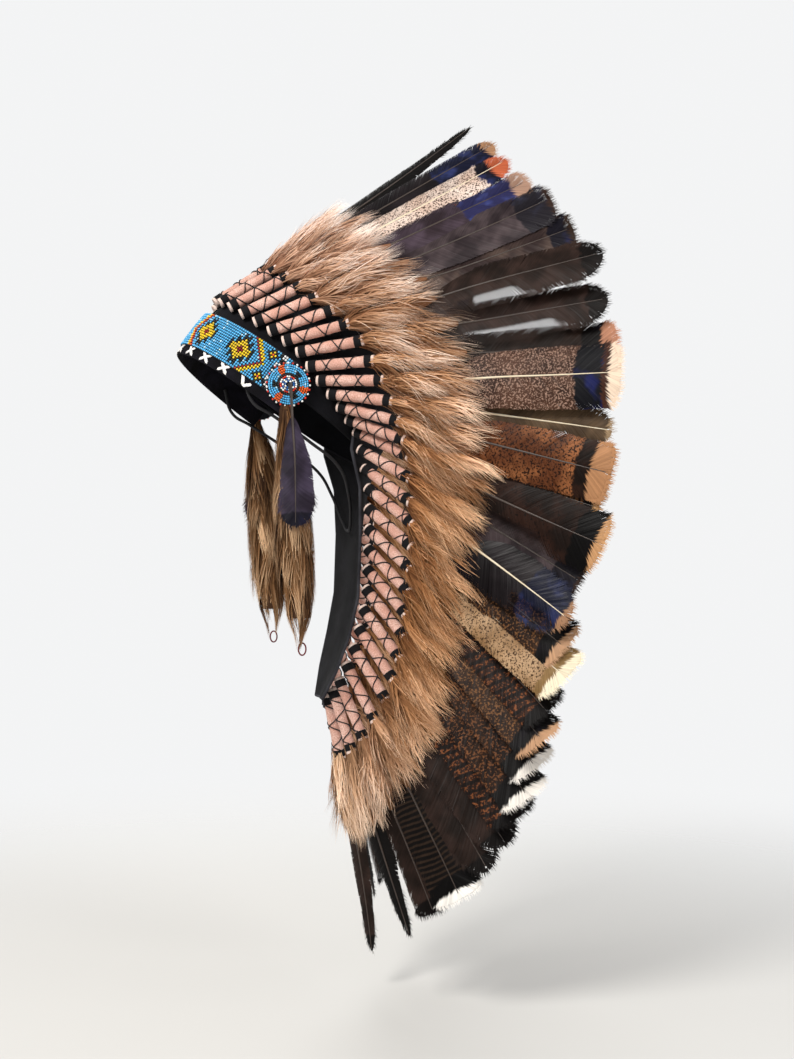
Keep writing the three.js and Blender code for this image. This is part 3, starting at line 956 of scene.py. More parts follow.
WOOLLY = {"bump": 0.3, "Roughness": 0.85, "Specular_IOR_Level": 0.25}
yarn = two_tone("binding_yarn", "050406", "141317", 1600, 2, **WOOLLY)
cut_edge = two_tone("cut_edge", "d8b3a4", "f6e6dc", 700, 2, Roughness=0.9)
thread = two_tone("lacing_thread", "08080a", "1d1c20", 1800, 1, Roughness=0.6)


# %% Sleeve shape
def rings(plume, rows, sides=14, wobble=0.0):
    """Round rings on a plume's axis. rows are (reach, radius)."""
    reach, radius = np.array(rows, float).T
    radius = radius[:, None] * (1 + wobble * DRAW.normal(size=(len(rows), sides)))
    return plume.at(reach)[:, None] + radius[..., None] * plume.spokes(circle(sides))


THREAD_TURNS = 2.2


def sleeve(patch, plume):
    body, wound = SLEEVE["radius"] + 0.3, SLEEVE["binding"] + 0.5
    inner, outer = SLEEVE["binding_length"], SLEEVE["length"] - SLEEVE["binding_length"]
    end = SLEEVE["length"]
    swell = [(r, body + 0.25 * math.sin(r * 0.23 + plume.place)) for r in np.linspace(inner, outer, 7)]
    patch.closed(rings(plume, swell, wobble=0.012))
    for start, stop in ((0.8, inner + 0.6), (outer - 0.6, end - 1.2)):
        reach = np.linspace(start, stop, 9)
        coil = [(r, wound - 0.1 - 0.35 * (i % 2)) for i, r in enumerate(reach)]
        coil = [(start, body - 0.4)] + coil + [(stop, body - 0.4)]
        patch.closed(rings(plume, coil), 1)
    mouth = [(1.5, body), (-1.6, body + 0.1), (-1.9, body - 0.8), (-0.6, 1.6), (-0.4, 0.2)]
    patch.closed(rings(plume, mouth, wobble=0.02), 2)
    lip = [(end - 2.5, body), (end + 0.8, body + 0.5), (end + 1.6, body + 0.2), (end + 0.6, 2)]
    patch.closed(rings(plume, lip, wobble=0.03), 2)
    share = np.linspace(0, 1, 37)
    reach = inner + 0.5 + (outer - inner - 1) * share
    for way in (1, -1):
        turn = way * 2 * math.pi * THREAD_TURNS * share + 0.6 + 0.5 * plume.place
        line = plume.at(reach) + (body + 0.45) * plume.spokes(turn)
        patch.tube(line, 0.6, 4, slot=3)


# %% [markdown]
# ## Fluff
# Beyond each sleeve the quill is hidden in soft down and hackle tips, which run together
# into one furry band. Fur grows in locks: strands that start apart and come together at a
# tip. Each plume gets a plain core, painted darker still as shade deep in the fluff, and some
# locks of flat tapering strands round it. Every strand carries its own colour, pale at its tip
# and darker at its root, where the darkness is partly painted shade inside the fur.

# %% Strands of hair
def blend(stops, share):
    """The colours of root, middle and tip, mixed by a share from 0 to 1."""
    return np.stack([np.interp(share, (0, 0.5, 1), stops[:, c]) for c in range(3)], -1)


def hair(patch, slot, lines, spokes, widths, stops, tone, lean=0.0):
    """Tapering ribbons along lines, lit as the round lock that they cover together."""
    share = np.linspace(0, 1, len(widths))
    beside = unit(np.cross(np.gradient(lines, axis=1), spokes))
    facing = spokes + lean * unit(np.cross(beside, spokes)) + DRAW.normal(0, 0.14, (len(lines), 1, 3))
    half = np.array(widths)[None, :, None] * beside
    # Colour runs from root to tip: the darker roots are partly the hair's own colour and partly painted shade
    # inside the lock.
    colour = blend(stops, np.clip(share[None] ** 1.2 + tone, 0, 1)) * (1 + 0.6 * tone[..., None])
    ribbons = np.stack([lines - half, lines + half], 2)
    patch.grids(ribbons, slot, tint=colour[:, :, None], facing=unit(facing)[:, :, None])


down = Finish("fluff_down", Roughness=0.8, Specular_IOR_Level=0.2)
down.colour(down.tint())

# %% Fluff shape
# Columns: place in the row, then the colours at the root, the middle and the tip. The root's
# colour is partly painted shade inside the fluff.
FLUFF_COLOURS = [
    (0, "a2745a", "e0b89d", "fff6ef"),
    (7, "93623f", "d0a078", "fbe9d9"),
    (13, "7c4b2a", "bb8456", "eec69f"),
    (20, "704524", "ad774a", "e2b48a"),
    (24, "734a2c", "b07e55", "e8c2a0"),
    (26, "9a7050", "cc9f7c", "f2d9c2"),
    (28, "9c7655", "cca582", "f0d6bd"),
]
FLUFF = {"start": 55, "locks": 19, "strands": 46, "thick": 12.5, "share_of_length": 0.37}
FLUFF_WIDTHS = (0.36, 0.42, 0.34, 0.2, 0.02)
# Columns: place in the row, how far the tips of the fluff sag under their own weight.
SAG = np.array([(0, 1), (3, 7), (7, 15), (11, 13), (15, 8), (20, 3), (28, 1)])
# A lock starts at the next turn round the quill, so that no two lie in line.
GOLDEN_TURN = 2.4


def fluff_stops(place):
    places = [row[0] for row in FLUFF_COLOURS]
    codes = np.array([[shade(code) for code in row[1:]] for row in FLUFF_COLOURS])
    return np.array([[np.interp(place, places, codes[:, i, c]) for c in range(3)] for i in range(3)])


def fluff_end(plume):
    return FLUFF["start"] + FLUFF["share_of_length"] * plume.length


def envelope(plume, reach):
    """Half width and half thickness of the fluff at a reach."""
    start, end = FLUFF["start"], fluff_end(plume)
    share = (reach - start) / (end - start)
    swell = np.interp(share, (0, 0.12, 0.5, 1, 1.2), (0.6, 1, 1.1, 0.95, 0.8))
    reaches = (60, 90, 130, 170)
    wide = np.interp(reach, reaches, [room(plume.place, r) for r in reaches])
    return swell * np.minimum(wide, 15) * 1.25, swell * FLUFF["thick"]


def spindle(plume, reach, turn, size):
    """Points round a plume's axis, at a share of the fluff's envelope."""
    wide, thick = envelope(plume, reach)
    side = (np.cos(turn) * wide * size)[..., None] * plume.beside
    return plume.at(reach) + side + (np.sin(turn) * thick * size)[..., None] * plume.outward


def fluff(patch, plume, slot):
    end = fluff_end(plume)
    stops = fluff_stops(plume.place)
    reach = np.linspace(FLUFF["start"] + 1, end - 12, 9)[:, None]
    turn = circle(10)[None]
    size = np.interp(reach, (FLUFF["start"], 70, end - 34, end - 12), (0.3, 0.66, 0.5, 0.1))
    core = spindle(plume, reach + 0 * turn, turn + 0 * reach, size + 0 * turn)
    # The core is painted shade: darker than the strands' roots, standing for the shaded depth of the fluff.
    patch.closed(core, slot, tint=0.62 * stops[0])
    locks, strands = FLUFF["locks"], FLUFF["strands"]
    shape = (locks, 1)
    lock_turn = (np.arange(locks)[:, None] * GOLDEN_TURN + DRAW.uniform(0, 0.5, shape)) % (2 * math.pi)
    lock_start = FLUFF["start"] + np.linspace(0, 0.52, locks)[:, None] * (end - FLUFF["start"])
    lock_end = np.minimum(lock_start + DRAW.uniform(46, 72, shape), end + DRAW.uniform(-10, 14, shape))
    lock_size = DRAW.uniform(0.85, 1.3, shape)
    lock_lean = DRAW.normal(0, 4.2, (locks, 1, 1, 2))
    lock_wave = DRAW.uniform(0, 2 * math.pi, (locks, 1, 1))
    lock_tone = DRAW.normal(0, 0.16, shape)
    full = (locks, strands)
    start = lock_start + DRAW.normal(0, 4, full)
    stop = lock_end - np.abs(DRAW.normal(0, 13, full))
    turn_0 = lock_turn + DRAW.normal(0, 0.6, full)
    turn_1 = lock_turn + DRAW.normal(0, 0.3, full)
    size_1 = lock_size + DRAW.normal(0, 0.16, full)
    tone = (lock_tone + DRAW.normal(0, 0.1, full)).reshape(-1, 1)
    q = np.linspace(0, 1, len(FLUFF_WIDTHS))
    reach = start[..., None] + (stop - start)[..., None] * q
    turn = turn_0[..., None] + (turn_1 - turn_0)[..., None] * q**0.8
    size = 0.4 + (size_1[..., None] - 0.4) * q**0.5
    line = spindle(plume, reach, turn, size)
    wave = 0.9 * np.sin(5 * q + lock_wave)[..., None] * (q**0.7)[:, None]
    sway = lock_lean * (q**2)[:, None] + wave + DRAW.normal(0, 1.5, (*full, 1, 2)) * (q**1.5)[:, None]
    line = line + sway[..., :1] * plume.beside + sway[..., 1:] * plume.outward
    sag = np.interp(plume.place, *SAG.T) * (1 + 0.3 * lock_lean[:, 0, :, :1] / 4.2)
    line = line - (sag[:, :, None] * (q**1.8)[:, None]) * np.array([0, 0, 1.0])
    line = line.reshape(-1, len(q), 3)
    spoke = unit(line - plume.at(reach).reshape(-1, len(q), 3))
    hair(patch, slot, line, spoke, FLUFF_WIDTHS, stops, tone, lean=0.35)


print("fluff strands to a plume:", FLUFF["locks"] * FLUFF["strands"])

# %% [markdown]
# ## Main feathers
# A feather's flat vane is made of barbs, which leave the quill at an angle, bend forwards and
# end along the vane's edge. A vane cut from one sheet never looks right there, so each barb
# is a narrow strip of its own. The form of a feather is an outline for each side: roots are
# spaced along the quill, ends are spaced along the outline and round the tip, and a curve
# joins each root to its end. Where ends are pushed apart, the vane splits. Beyond the tip fine
# wisps stand free, and on a worn edge the barbs are thin and hang apart.

# %% The outline of a vane
# Columns: widths as shares of the half width at the stops below, length of the rounded end as
# a share of the half width, its squareness, barb angle at the base and near the tip, splits,
# how far they open.
STOPS = (0, 0.12, 0.3, 0.6, 1)
FORMS = {
    "blunt": ((0.3, 0.62, 0.86, 0.97, 1.0), 0.5, 3.2, 52, 34, 4, 0.6),
    "round": ((0.35, 0.7, 0.95, 1.0, 0.9), 1.1, 2.2, 50, 30, 5, 0.6),
    "ragged": ((0.35, 0.68, 0.92, 1.0, 0.88), 1.2, 2.0, 46, 26, 8, 1.1),
    "pointed": ((0.5, 0.85, 1.0, 0.95, 0.62), 2.4, 1.5, 38, 20, 6, 0.6),
    "hanging": ((0.16, 0.34, 0.58, 0.88, 1.0), 1.5, 2.3, 34, 22, 4, 0.6),
}


def edge_of(form, start, length, half):
    """Points (reach, out) along one edge, then round the tip to the quill's line."""
    widths, end_share, square, *_ = FORMS[form]
    end = end_share * half
    reach = np.linspace(start, length - end, 60)
    out = half * np.interp((reach - start) / (length - end - start), STOPS, widths)
    turn = np.linspace(0, math.pi / 2, 40)[1:]
    tip_reach = length - end + end * np.sin(turn) ** (2 / square)
    tip_out = out[-1] * np.cos(turn) ** (2 / square)
    line = np.stack([np.r_[reach, tip_reach], np.r_[out, np.maximum(tip_out, 0)]], -1)
    lengths = lengths_of(line)
    return lambda at: np.stack([np.interp(at, lengths, line[:, i]) for i in (0, 1)], -1), lengths[-1]


def centre_line(plume, start, length, sweep, bow, lift):
    """The quill's line: swept and bowed at its end, and lifted clear where it lies over others."""
    def at(reach):
        share = np.clip((reach - start) / (length - start), 0, 1.3)
        rise = np.clip(share / 0.45, 0, 1)
        out = share**2 * bow + lift * rise * rise * (3 - 2 * rise)
        swept_out = (share**2 * sweep)[..., None] * plume.across
        return plume.at(reach) + swept_out + out[..., None] * plume.thick

    return at


# %% The barbs of a vane
BARB_PITCH = 0.95
NARROW_SIDE = 0.9
BOWED = 0.14
WISP_WIDTHS = (0.34, 0.22, 0.03)
WISP_STREAK = 0.6


class Vane:
    """One flat vane on a plume: barbs and wisps on both sides, and the quill between them."""

    def __init__(self, patch, plume, start, length, half, form, slots, bend=(0, 0), worn=None, lift=0):
        self.patch = patch
        self.plume = plume
        self.start = start
        self.length = length
        self.half = half
        self.form = form
        self.slots = slots
        self.centre = centre_line(plume, start, length, *bend, lift)
        self.shaft_end = length - 0.3 * half
        for side in (1, -1):
            edge, total = edge_of(form, start, length, half * (1 if side > 0 else NARROW_SIDE))
            self.barbs(side, edge, total, worn)
            self.wisps(side, edge, total)
        self.quill()

    def lay_out(self, flat, side, lift):
        """From (reach, out) to points in space, with the vane a little bowed."""
        bow = -BOWED * self.half * (flat[..., 1] / self.half) ** 2 + lift
        beside = side * flat[..., 1:] * self.plume.across
        return self.centre(flat[..., 0]) + beside + bow[..., None] * self.plume.thick

    def shares(self, flat, side):
        """How far across the vane and along it a place is, for the finish."""
        across = 0.5 + 0.5 * side * flat[..., 1] / self.half
        return np.stack([across, (flat[..., 0] - self.start) / (self.length - self.start)], -1)

    def barbs(self, side, edge, total, worn):
        *_, base_angle, tip_angle, clumps, opening = FORMS[self.form]
        start, half, plume = self.start, self.half, self.plume
        count = int((self.shaft_end - start) / BARB_PITCH)
        q = np.linspace(0, 1, 5)
        share = np.linspace(0, 1, count)
        cuts = np.sort(np.r_[0, DRAW.uniform(0.1, 0.97, clumps - 1), 1])
        clump = np.clip(np.searchsorted(cuts, share, side="right") - 1, 0, clumps - 1)
        inside = 2 * (share - cuts[clump]) / np.maximum(cuts[clump + 1] - cuts[clump], 1e-6) - 1
        part = np.abs(DRAW.normal(0, opening, clumps))[clump]
        first = 0.7 * half
        at = first + (total - first) * share - inside * part + DRAW.normal(0, 0.25, count)
        stop = edge(np.clip(at, 0, total))
        stop[:, 1] *= 1 + DRAW.normal(0, 0.012, count)
        root = np.stack([start + (self.shaft_end - start) * share, np.zeros(count)], -1)
        chord = np.linalg.norm(stop - root, axis=1)
        angle = np.radians(np.interp(share, (0, 0.75, 1), (base_angle, tip_angle, 4)))
        angle = np.minimum(angle + 0.3, np.arctan2(stop[:, 1], stop[:, 0] - root[:, 0]) * 1.45 + 0.02)
        knee = root + 0.5 * chord[:, None] * np.stack([np.cos(angle), np.sin(angle)], -1)
        k = q[None, :, None]
        flat = (1 - k) ** 2 * root[:, None] + 2 * k * (1 - k) * knee[:, None] + k**2 * stop[:, None]
        rise = DRAW.normal(0, 0.5, clumps)[clump]
        strip = self.lay_out(flat, side, rise[:, None] * q**2 + side * 0.12)
        ahead = unit(np.gradient(strip, axis=1))
        spacing = np.gradient(strip, axis=0)
        spacing = spacing - ahead * np.sum(spacing * ahead, -1, keepdims=True)
        width = np.clip(np.linalg.norm(spacing, axis=-1), 0.3, 1.6)
        narrow = np.ones(count)
        if worn and side == worn[0]:
            near, far = worn[1:]
            narrow = np.interp(share, (near, near + 0.08, far - 0.08, far), (1, 0.3, 0.3, 1))
        taper = 1 - 0.4 * q**4
        taper = np.where(q > 0.3, taper * narrow[:, None], taper)
        sheath = unit(np.cross(ahead, plume.thick)) * (0.8 * width * taper)[..., None]
        shingle = 0.16 * side * plume.thick
        ribbon = np.stack([strip - sheath + shingle, strip + sheath - shingle], 2)
        streak = DRAW.uniform(0, 1, count)
        facing = plume.thick + side * (0.28 * flat[..., 1:] / half) * plume.across
        facing = unit(facing + DRAW.normal(0, 0.05, (count, 1, 3)))
        self.patch.grids(ribbon, self.slots[0], across=self.shares(flat, side)[:, :, None],
                         tint=streak[:, None, None, None], facing=facing[:, :, None])

    def wisps(self, side, edge, total):
        end_share = FORMS[self.form][1]
        count = int(4 * self.half)
        last = DRAW.uniform(total - self.half * (0.75 + end_share), total, count)
        foot = edge(last)
        along_edge = unit(foot - edge(np.maximum(last - 1, 0)))
        out = np.abs(along_edge[:, ::-1])
        way = unit(out * (1, 0.6) + (0.55, 0.0) + DRAW.normal(0, 0.16, (count, 2)))
        reach = DRAW.uniform(1, 5.5, count)[:, None, None]
        rows = len(WISP_WIDTHS)
        flat = (foot - 3 * way)[:, None] + way[:, None] * (reach + 3) * np.linspace(0, 1, rows)[None, :, None]
        strip = self.lay_out(flat, side, np.zeros((count, rows)) + 0.1 * side)
        sheath = unit(np.cross(unit(np.gradient(strip, axis=1)), self.plume.thick))
        sheath = sheath * np.array(WISP_WIDTHS)[None, :, None]
        self.patch.grids(np.stack([strip - sheath, strip + sheath], 2), self.slots[0],
                         across=self.shares(flat, side)[:, :, None], tint=WISP_STREAK,
                         facing=self.plume.thick)

    def quill(self):
        reach = np.linspace(self.start - 30, self.shaft_end + 0.1 * self.half, 12)
        radius = np.interp(reach, (self.start, self.shaft_end), (1.3, 0.4))
        self.patch.tube(self.centre(reach), radius, 6, self.plume.thick, slot=self.slots[1])


print("forms of feather:", len(FORMS))

# %% [markdown]
# ## Feather finishes
# The feathers come from several birds: plain black and blue-black ones, speckled and barred
# turkey feathers with a dark band and a pale fringe, rusty ones and olive ones. One function
# paints them all from the vane's own two directions: fine specks, cross bars, a dark band near
# the tip, a pale fringe at the very tip, and streaks that differ from barb to barb.

# %% Feather finishes
def feather_finish(name, ground, other, speck, bars, band, fringe, rough):
    made = Finish(name, Roughness=rough, Specular_IOR_Level=0.09)
    across, along = made.layer("lay")
    barb = made.barb()
    side = ((across - 0.5) * 2).size()
    drift = made.noise(38, 2)
    colour = made.mix(drift.step(0.35, 0.65), shade(ground), shade(other))
    if speck:
        tone, amount, grain = speck
        grains = made.noise(grain, 2.5, 0.6)
        colour = made.mix(grains.step(1.0 - amount, 1.1 - amount), colour, shade(tone))
    if bars:
        count, tone = bars
        wave = ((along * count + side * 0.9 + drift * 1.2) * (2 * math.pi)).sine()
        colour = made.mix(wave.step(-0.1, 0.7), colour, shade(tone))
    if band:
        tone, sheen, begins = band
        edge = along + (made.noise(140, 3) - 0.5) * 0.06 - side * side * 0.035
        dark = made.mix(made.noise(50, 2).step(0.5, 0.72), shade(tone), shade(sheen))
        colour = made.mix(edge.step(begins, begins + 0.018), colour, dark)
    if fringe:
        tone, begins, *line = fringe
        edge = along + (barb - 0.5) * 0.02 + (drift - 0.5) * 0.04 - side * side * 0.02
        for before in line:
            colour = made.mix(edge.step(begins - 0.03, begins - 0.02), colour, shade(before))
        colour = made.mix(edge.step(begins, begins + 0.02), colour, shade(tone))
    streak = 0.8 + barb * 0.28 + (made.noise(24, 2) - 0.5) * 0.35
    made.colour(made.mix(1.0, colour, streak, "MULTIPLY"))
    made.rough(rough - 0.08 + barb * 0.12)
    return made


# Columns: ground, its second tone, specks (colour, amount, fineness), bars (count, colour), band
# (colour, sheen, where it starts), fringe (colour, where it starts, line before it), roughness.
COATS = {
    "hanging": ("27212c", "3f3748", None, None, ("17151f", "1d1c30", 0.86), None, 0.4),
    "black": ("070505", "0d0a09", None, None, None, None, 0.5),
    "blue_black": ("110d0f", "201a1d", None, None, ("0f1226", "28305a", 0.64), ("9c7557", 0.94), 0.4),
    "white_speck": (
        "e0cec2", "cfb5a4", ("3a221a", 0.5, 600), None,
        ("0c0b16", "232a52", 0.82), ("b0593a", 0.9), 0.5,
    ),
    "violet": ("2d2328", "463a44", None, None, ("26264a", "3a4278", 0.62), ("a07f6c", 0.9), 0.4),
    "slate": ("2a2225", "4c4143", None, None, ("1c191f", "2a2a38", 0.8), ("30211b", 0.965), 0.42),
    "slate_band": ("2d2221", "4e403a", None, None, ("14121b", "1f2244", 0.86), ("2a1d16", 0.96), 0.42),
    "brown": ("1c130f", "32241f", None, None, ("0c0807", "150f0d", 0.88), None, 0.5),
    "buff_tip": ("1a110c", "2e211b", None, None, ("0b0707", "15111a", 0.8), ("b98367", 0.91), 0.5),
    "turkey": (
        "2e1c15", "4b3226", ("967868", 0.5, 620), None,
        ("07070d", "141a4c", 0.74), ("e4cdb6", 0.92, "3a1f15"), 0.5,
    ),
    "olive_plain": ("463729", "66523d", None, None, None, ("977f62", 0.96), 0.5),
    "rust": (
        "5a321c", "935c38", ("1c0f09", 0.5, 520), None,
        ("150c08", "2a1810", 0.77), ("b0805a", 0.86), 0.5,
    ),
    "barred": ("5c3a22", "744d2f", None, (27, "24150d"), ("0f0a08", "0f0a08", 0.88), ("b98d60", 0.95), 0.5),
    "dark_band": (
        "160d09", "2c1a13", ("120a07", 0.45, 420), None,
        ("050404", "0b090c", 0.8), ("c39468", 0.935), 0.5,
    ),
    "mottled": (
        "1e120d", "342216", ("785131", 0.49, 480), None,
        ("080606", "120f14", 0.83), ("bb9270", 0.935), 0.5,
    ),
    "olive": (
        "8f6d49", "bd9c78", ("3c2411", 0.49, 560), None,
        ("846740", "a08456", 0.86), ("efe2c6", 0.92), 0.5,
    ),
    "red_brown": (
        "160a05", "2c170e", ("7e4826", 0.49, 430), (16, "120805"),
        ("080505", "080505", 0.9), None, 0.5,
    ),
    "white_tip": (
        "160b07", "2a180b", ("74482a", 0.48, 440), None,
        ("060404", "0d0a0a", 0.8), ("e6e0d8", 0.93), 0.5,
    ),
    "pale_bars": (
        "080505", "0e0a09", None, (26, "2f231b"),
        ("050404", "0a0809", 0.82), ("f6f2ec", 0.93), 0.5,
    ),
}
VANES = {kind: feather_finish(f"vane_{kind}", *row) for kind, row in COATS.items()}
print("feather finishes:", len(VANES))

quill_pale = two_tone("quill_pale", "cbb58f", "efe6cf", 90, 2, Roughness=0.4)
quill_dark = two_tone("quill_dark", "201916", "4a3c33", 90, 2, Roughness=0.4)

# %% [markdown]
# ## Dressing every plume
# Each plume is one mesh: sleeve, fluff and vane together, because nobody would move them apart.
# A table says which feather stands at each place. On the trailer two plumes share one solid,
# so two dressed plumes stand for it.

# %% Table of feathers
# Columns: vane finish, form, half width, pale quill, change of length, lift over its
# neighbours, the worn edge's side with its start and end as shares of the vane.
FEATHERS = [
    ("black", "pointed", 15, False, 0, 0, None),
    ("blue_black", "round", 21, False, 0, 0, None),
    ("white_speck", "round", 22, True, -4, 0, None),
    ("violet", "blunt", 24, False, 0, 0, None),
    ("slate", "blunt", 26, False, 0, 0, None),
    ("slate_band", "blunt", 24, False, -2, -2, None),
    ("brown", "ragged", 25, False, 6, 5, (1, 0.1, 0.6)),
    ("brown", "ragged", 24, False, -2, -2, (1, 0.15, 0.75)),
    ("buff_tip", "blunt", 25, False, 0, -5, None),
    ("turkey", "blunt", 30, True, 3, 8, None),
    ("olive_plain", "ragged", 22, True, -8, -3, (1, 0.1, 0.8)),
    ("rust", "blunt", 27, False, -3, 4, None),
    ("barred", "blunt", 23, False, -12, -5, None),
    ("dark_band", "blunt", 28, False, 5, 6, (1, 0.1, 0.65)),
    ("slate", "blunt", 24, False, -8, -3, None),
    ("blue_black", "ragged", 28, True, 0, 4, (1, 0.5, 0.9)),
    ("mottled", "blunt", 25, False, -3, -2, None),
    ("olive", "blunt", 27, True, 5, 7, None),
    ("red_brown", "blunt", 24, False, -4, -4, None),
    ("mottled", "blunt", 25, False, 0, 3, None),
    ("white_tip", "blunt", 24, False, -2, -2, None),
    ("white_tip", "blunt", 25, False, 2, 2, None),
    ("red_brown", "blunt", 24, False, -2, -1, None),
    ("brown", "round", 24, False, 0, 0, None),
    ("brown", "ragged", 23, False, 2, -2, (-1, 0.3, 0.9)),
    ("pale_bars", "blunt", 26, False, 1, 3, None),
    ("brown", "blunt", 19, False, -6, -2, None),
    ("black", "pointed", 14, False, 2, 0, None),
    ("brown", "pointed", 12, False, 0, 0, None),
]


# %% Make the plumes
# The two plumes on the middle line have twisted a little in their bindings and stand clear of
# the rest. Each plume has its own draws, so a change to one leaves the others as they are.
CENTRE_TWIST = math.radians(-34)
CENTRE_RISE = 7.0
VANE_START = 108


def dress(place, side):
    global DRAW
    DRAW = np.random.default_rng(2 * place + (side == "right"))
    plume = ROW[place]
    kind, form, half, pale, longer, lift, worn = FEATHERS[place]
    if side == "right":
        longer = -longer
    patch = Patchwork()
    sleeve(patch, plume)
    fluff(patch, plume, 4)
    bend = DRAW.normal(0, 3, 2)
    if side == "centre":
        plume = Plume(place)
        plume.turn_vane(CENTRE_TWIST if place == 0 else -CENTRE_TWIST)
        bend = CENTRE_RISE * np.array([plume.outward @ plume.across, plume.outward @ plume.thick])
    Vane(patch, plume, VANE_START, plume.length + longer, half, form, (5, 6), bend, worn, lift)
    if side == "right":
        patch.mirror()
    finishes = [suede, yarn, cut_edge, thread, down, VANES[kind], quill_pale if pale else quill_dark]
    made = patch.mesh(f"dressed_plume_{place:02d}_{side}", finishes)
    if side == "centre" or place < FIRST_JOINED:
        node = f"plume_{place:02d}_{side}"
    else:
        first = place - (place - FIRST_JOINED) % 2
        node = f"plumes_{first}_{first + 1}_{side}"
    return finish_piece(made, "feather", node)


for place in range(PAIRS + 2):
    for side in ("centre",) if place in (0, PAIRS + 1) else ("left", "right"):
        last_plume = dress(place, side)
print("one plume has", len(last_plume.data.polygons), "faces")

# %% [markdown]
# ## Trailer
# The trailer is a hanging length of charcoal cloth, cut as a long tongue and sewn to the back
# of the cap. It is a sheet that hangs. Its edge is bound with lighter piping, and the thread
# of the seam ends in a small knot at the round end.

# %% Trailer
trailer_cloth = woven("trailer_cloth", "131315", "232327", 1.1, 0.14)
piping = woven("piping", "2c2c31", "4b4c52", 1.0, 0.1)


# Columns: how far aside a loose end of thread starts, and its length.
THREAD_ENDS = ((-1.5, 7), (1.5, 9))


def trailer():
    across, down = np.meshgrid(np.linspace(-1, 1, 41), np.linspace(0, 1, 90))
    front = np.array([[trailer_point(a, d) for a, d in zip(*row)] for row in zip(across, down)])
    ripple = 0.5 * np.sin(across * 5 + down * 9) * np.minimum(1, down * 3) * (1 - across**2)
    front[..., 1] += ripple
    normal = unit(np.cross(np.gradient(front, axis=1), np.gradient(front, axis=0)))
    normal = normal * np.sign(normal[..., 1:2])
    back = front + TRAILER["wall"] * normal
    patch = Patchwork()
    patch.grids(front, 0)
    patch.grids(back[:, ::-1], 0)
    rims = (
        (front[:, 0], back[:, 0]), (back[:, -1], front[:, -1]), (back[0], front[0]), (front[-1], back[-1]),
    )
    for rim in rims:
        patch.grids(np.stack(rim, 1), 0)
    made = finish_piece(patch.mesh("trailer_hung", [trailer_cloth]), "trailer_cloth", "trailer")
    middle = front + 0.5 * TRAILER["wall"] * normal
    line = np.concatenate([middle[:, 0], middle[-1, 1:-1], middle[::-1, -1]])
    edging = Patchwork()
    edging.tube(line, 1.5, 8, (0, 1, 0.05))
    end = middle[-1, 20]
    for shift, length in THREAD_ENDS:
        q = np.linspace(0, 1, 8)[:, None]
        tail = end + np.concatenate([shift * (1 + q), 2.4 + 0 * q, -1 - length * q], 1)
        edging.tube(tail, 0.8, 6, (0, 1, 0))
    ball = np.linspace(0, math.pi, 7)
    knot = end + np.stack([0 * ball, 2.6 + 0 * ball, -3.0 * np.cos(ball) - 1], 1)
    edging.tube(knot, 0.2 + 2.4 * np.sin(ball), 10, (0, 1, 0))
    bound = finish_piece(edging.mesh("trailer_piping", [piping]), "trailer_cloth")


trailer()

# %% [markdown]
# ## Side drops
# Under each rosette hangs a tail of fur, and in front of it a feather on a thread from the
# rosette's middle. The tail is made like the fluff, with longer locks that start at every height
# and fall straight down. The feather is one more vane.

# %% Tables of the drops
# Columns: x, y, z, half width along y, half thickness along x.
DROP_FUR = np.array([
    (94.5, -14, -13, 7, 5),
    (91, -9, -44, 15, 10),
    (89, -6, -100, 18, 13),
    (87, -2, -160, 18, 13),
    (86, 1, -200, 13, 10),
    (86, 3, -222, 4, 4),
], float)
FUR = {"locks": 46, "strands": 44, "core_top": -14, "core_low": -200, "lowest": -232}
# Root, middle and tip colours of the tail's strands; the dark root is partly painted shade inside the tail.
FUR_STOPS = np.array([shade(code) for code in ("4c321f", "87603d", "c9a783")])
FUR_WIDTHS = (0.4, 0.5, 0.5, 0.42, 0.26, 0.02)
LOOP = {"x": 86, "y": 3, "z": -228, "wide": 3.4, "tall": 5.5}
DROP_FEATHER = {"top": (101, -9, -8), "tip": (105, -5, -118), "start": 12.0, "half": 17.0}
DROP_BEND = (-3, -2)
DROP_LIFT = -3.5


# %% Fur tails
def tail_point(height, turn, size):
    """A point at a share of the tail's section. height is its z."""
    rows = DROP_FUR[::-1]
    x, y, wide, thick = (np.interp(height, rows[:, 2], rows[:, i]) for i in (0, 1, 3, 4))
    return np.stack([x + thick * size * np.sin(turn), y + wide * size * np.cos(turn), height], -1)


loop_cord = two_tone("loop_cord", "3c0f14", "7d1f28", 1200, 2, Roughness=0.8)


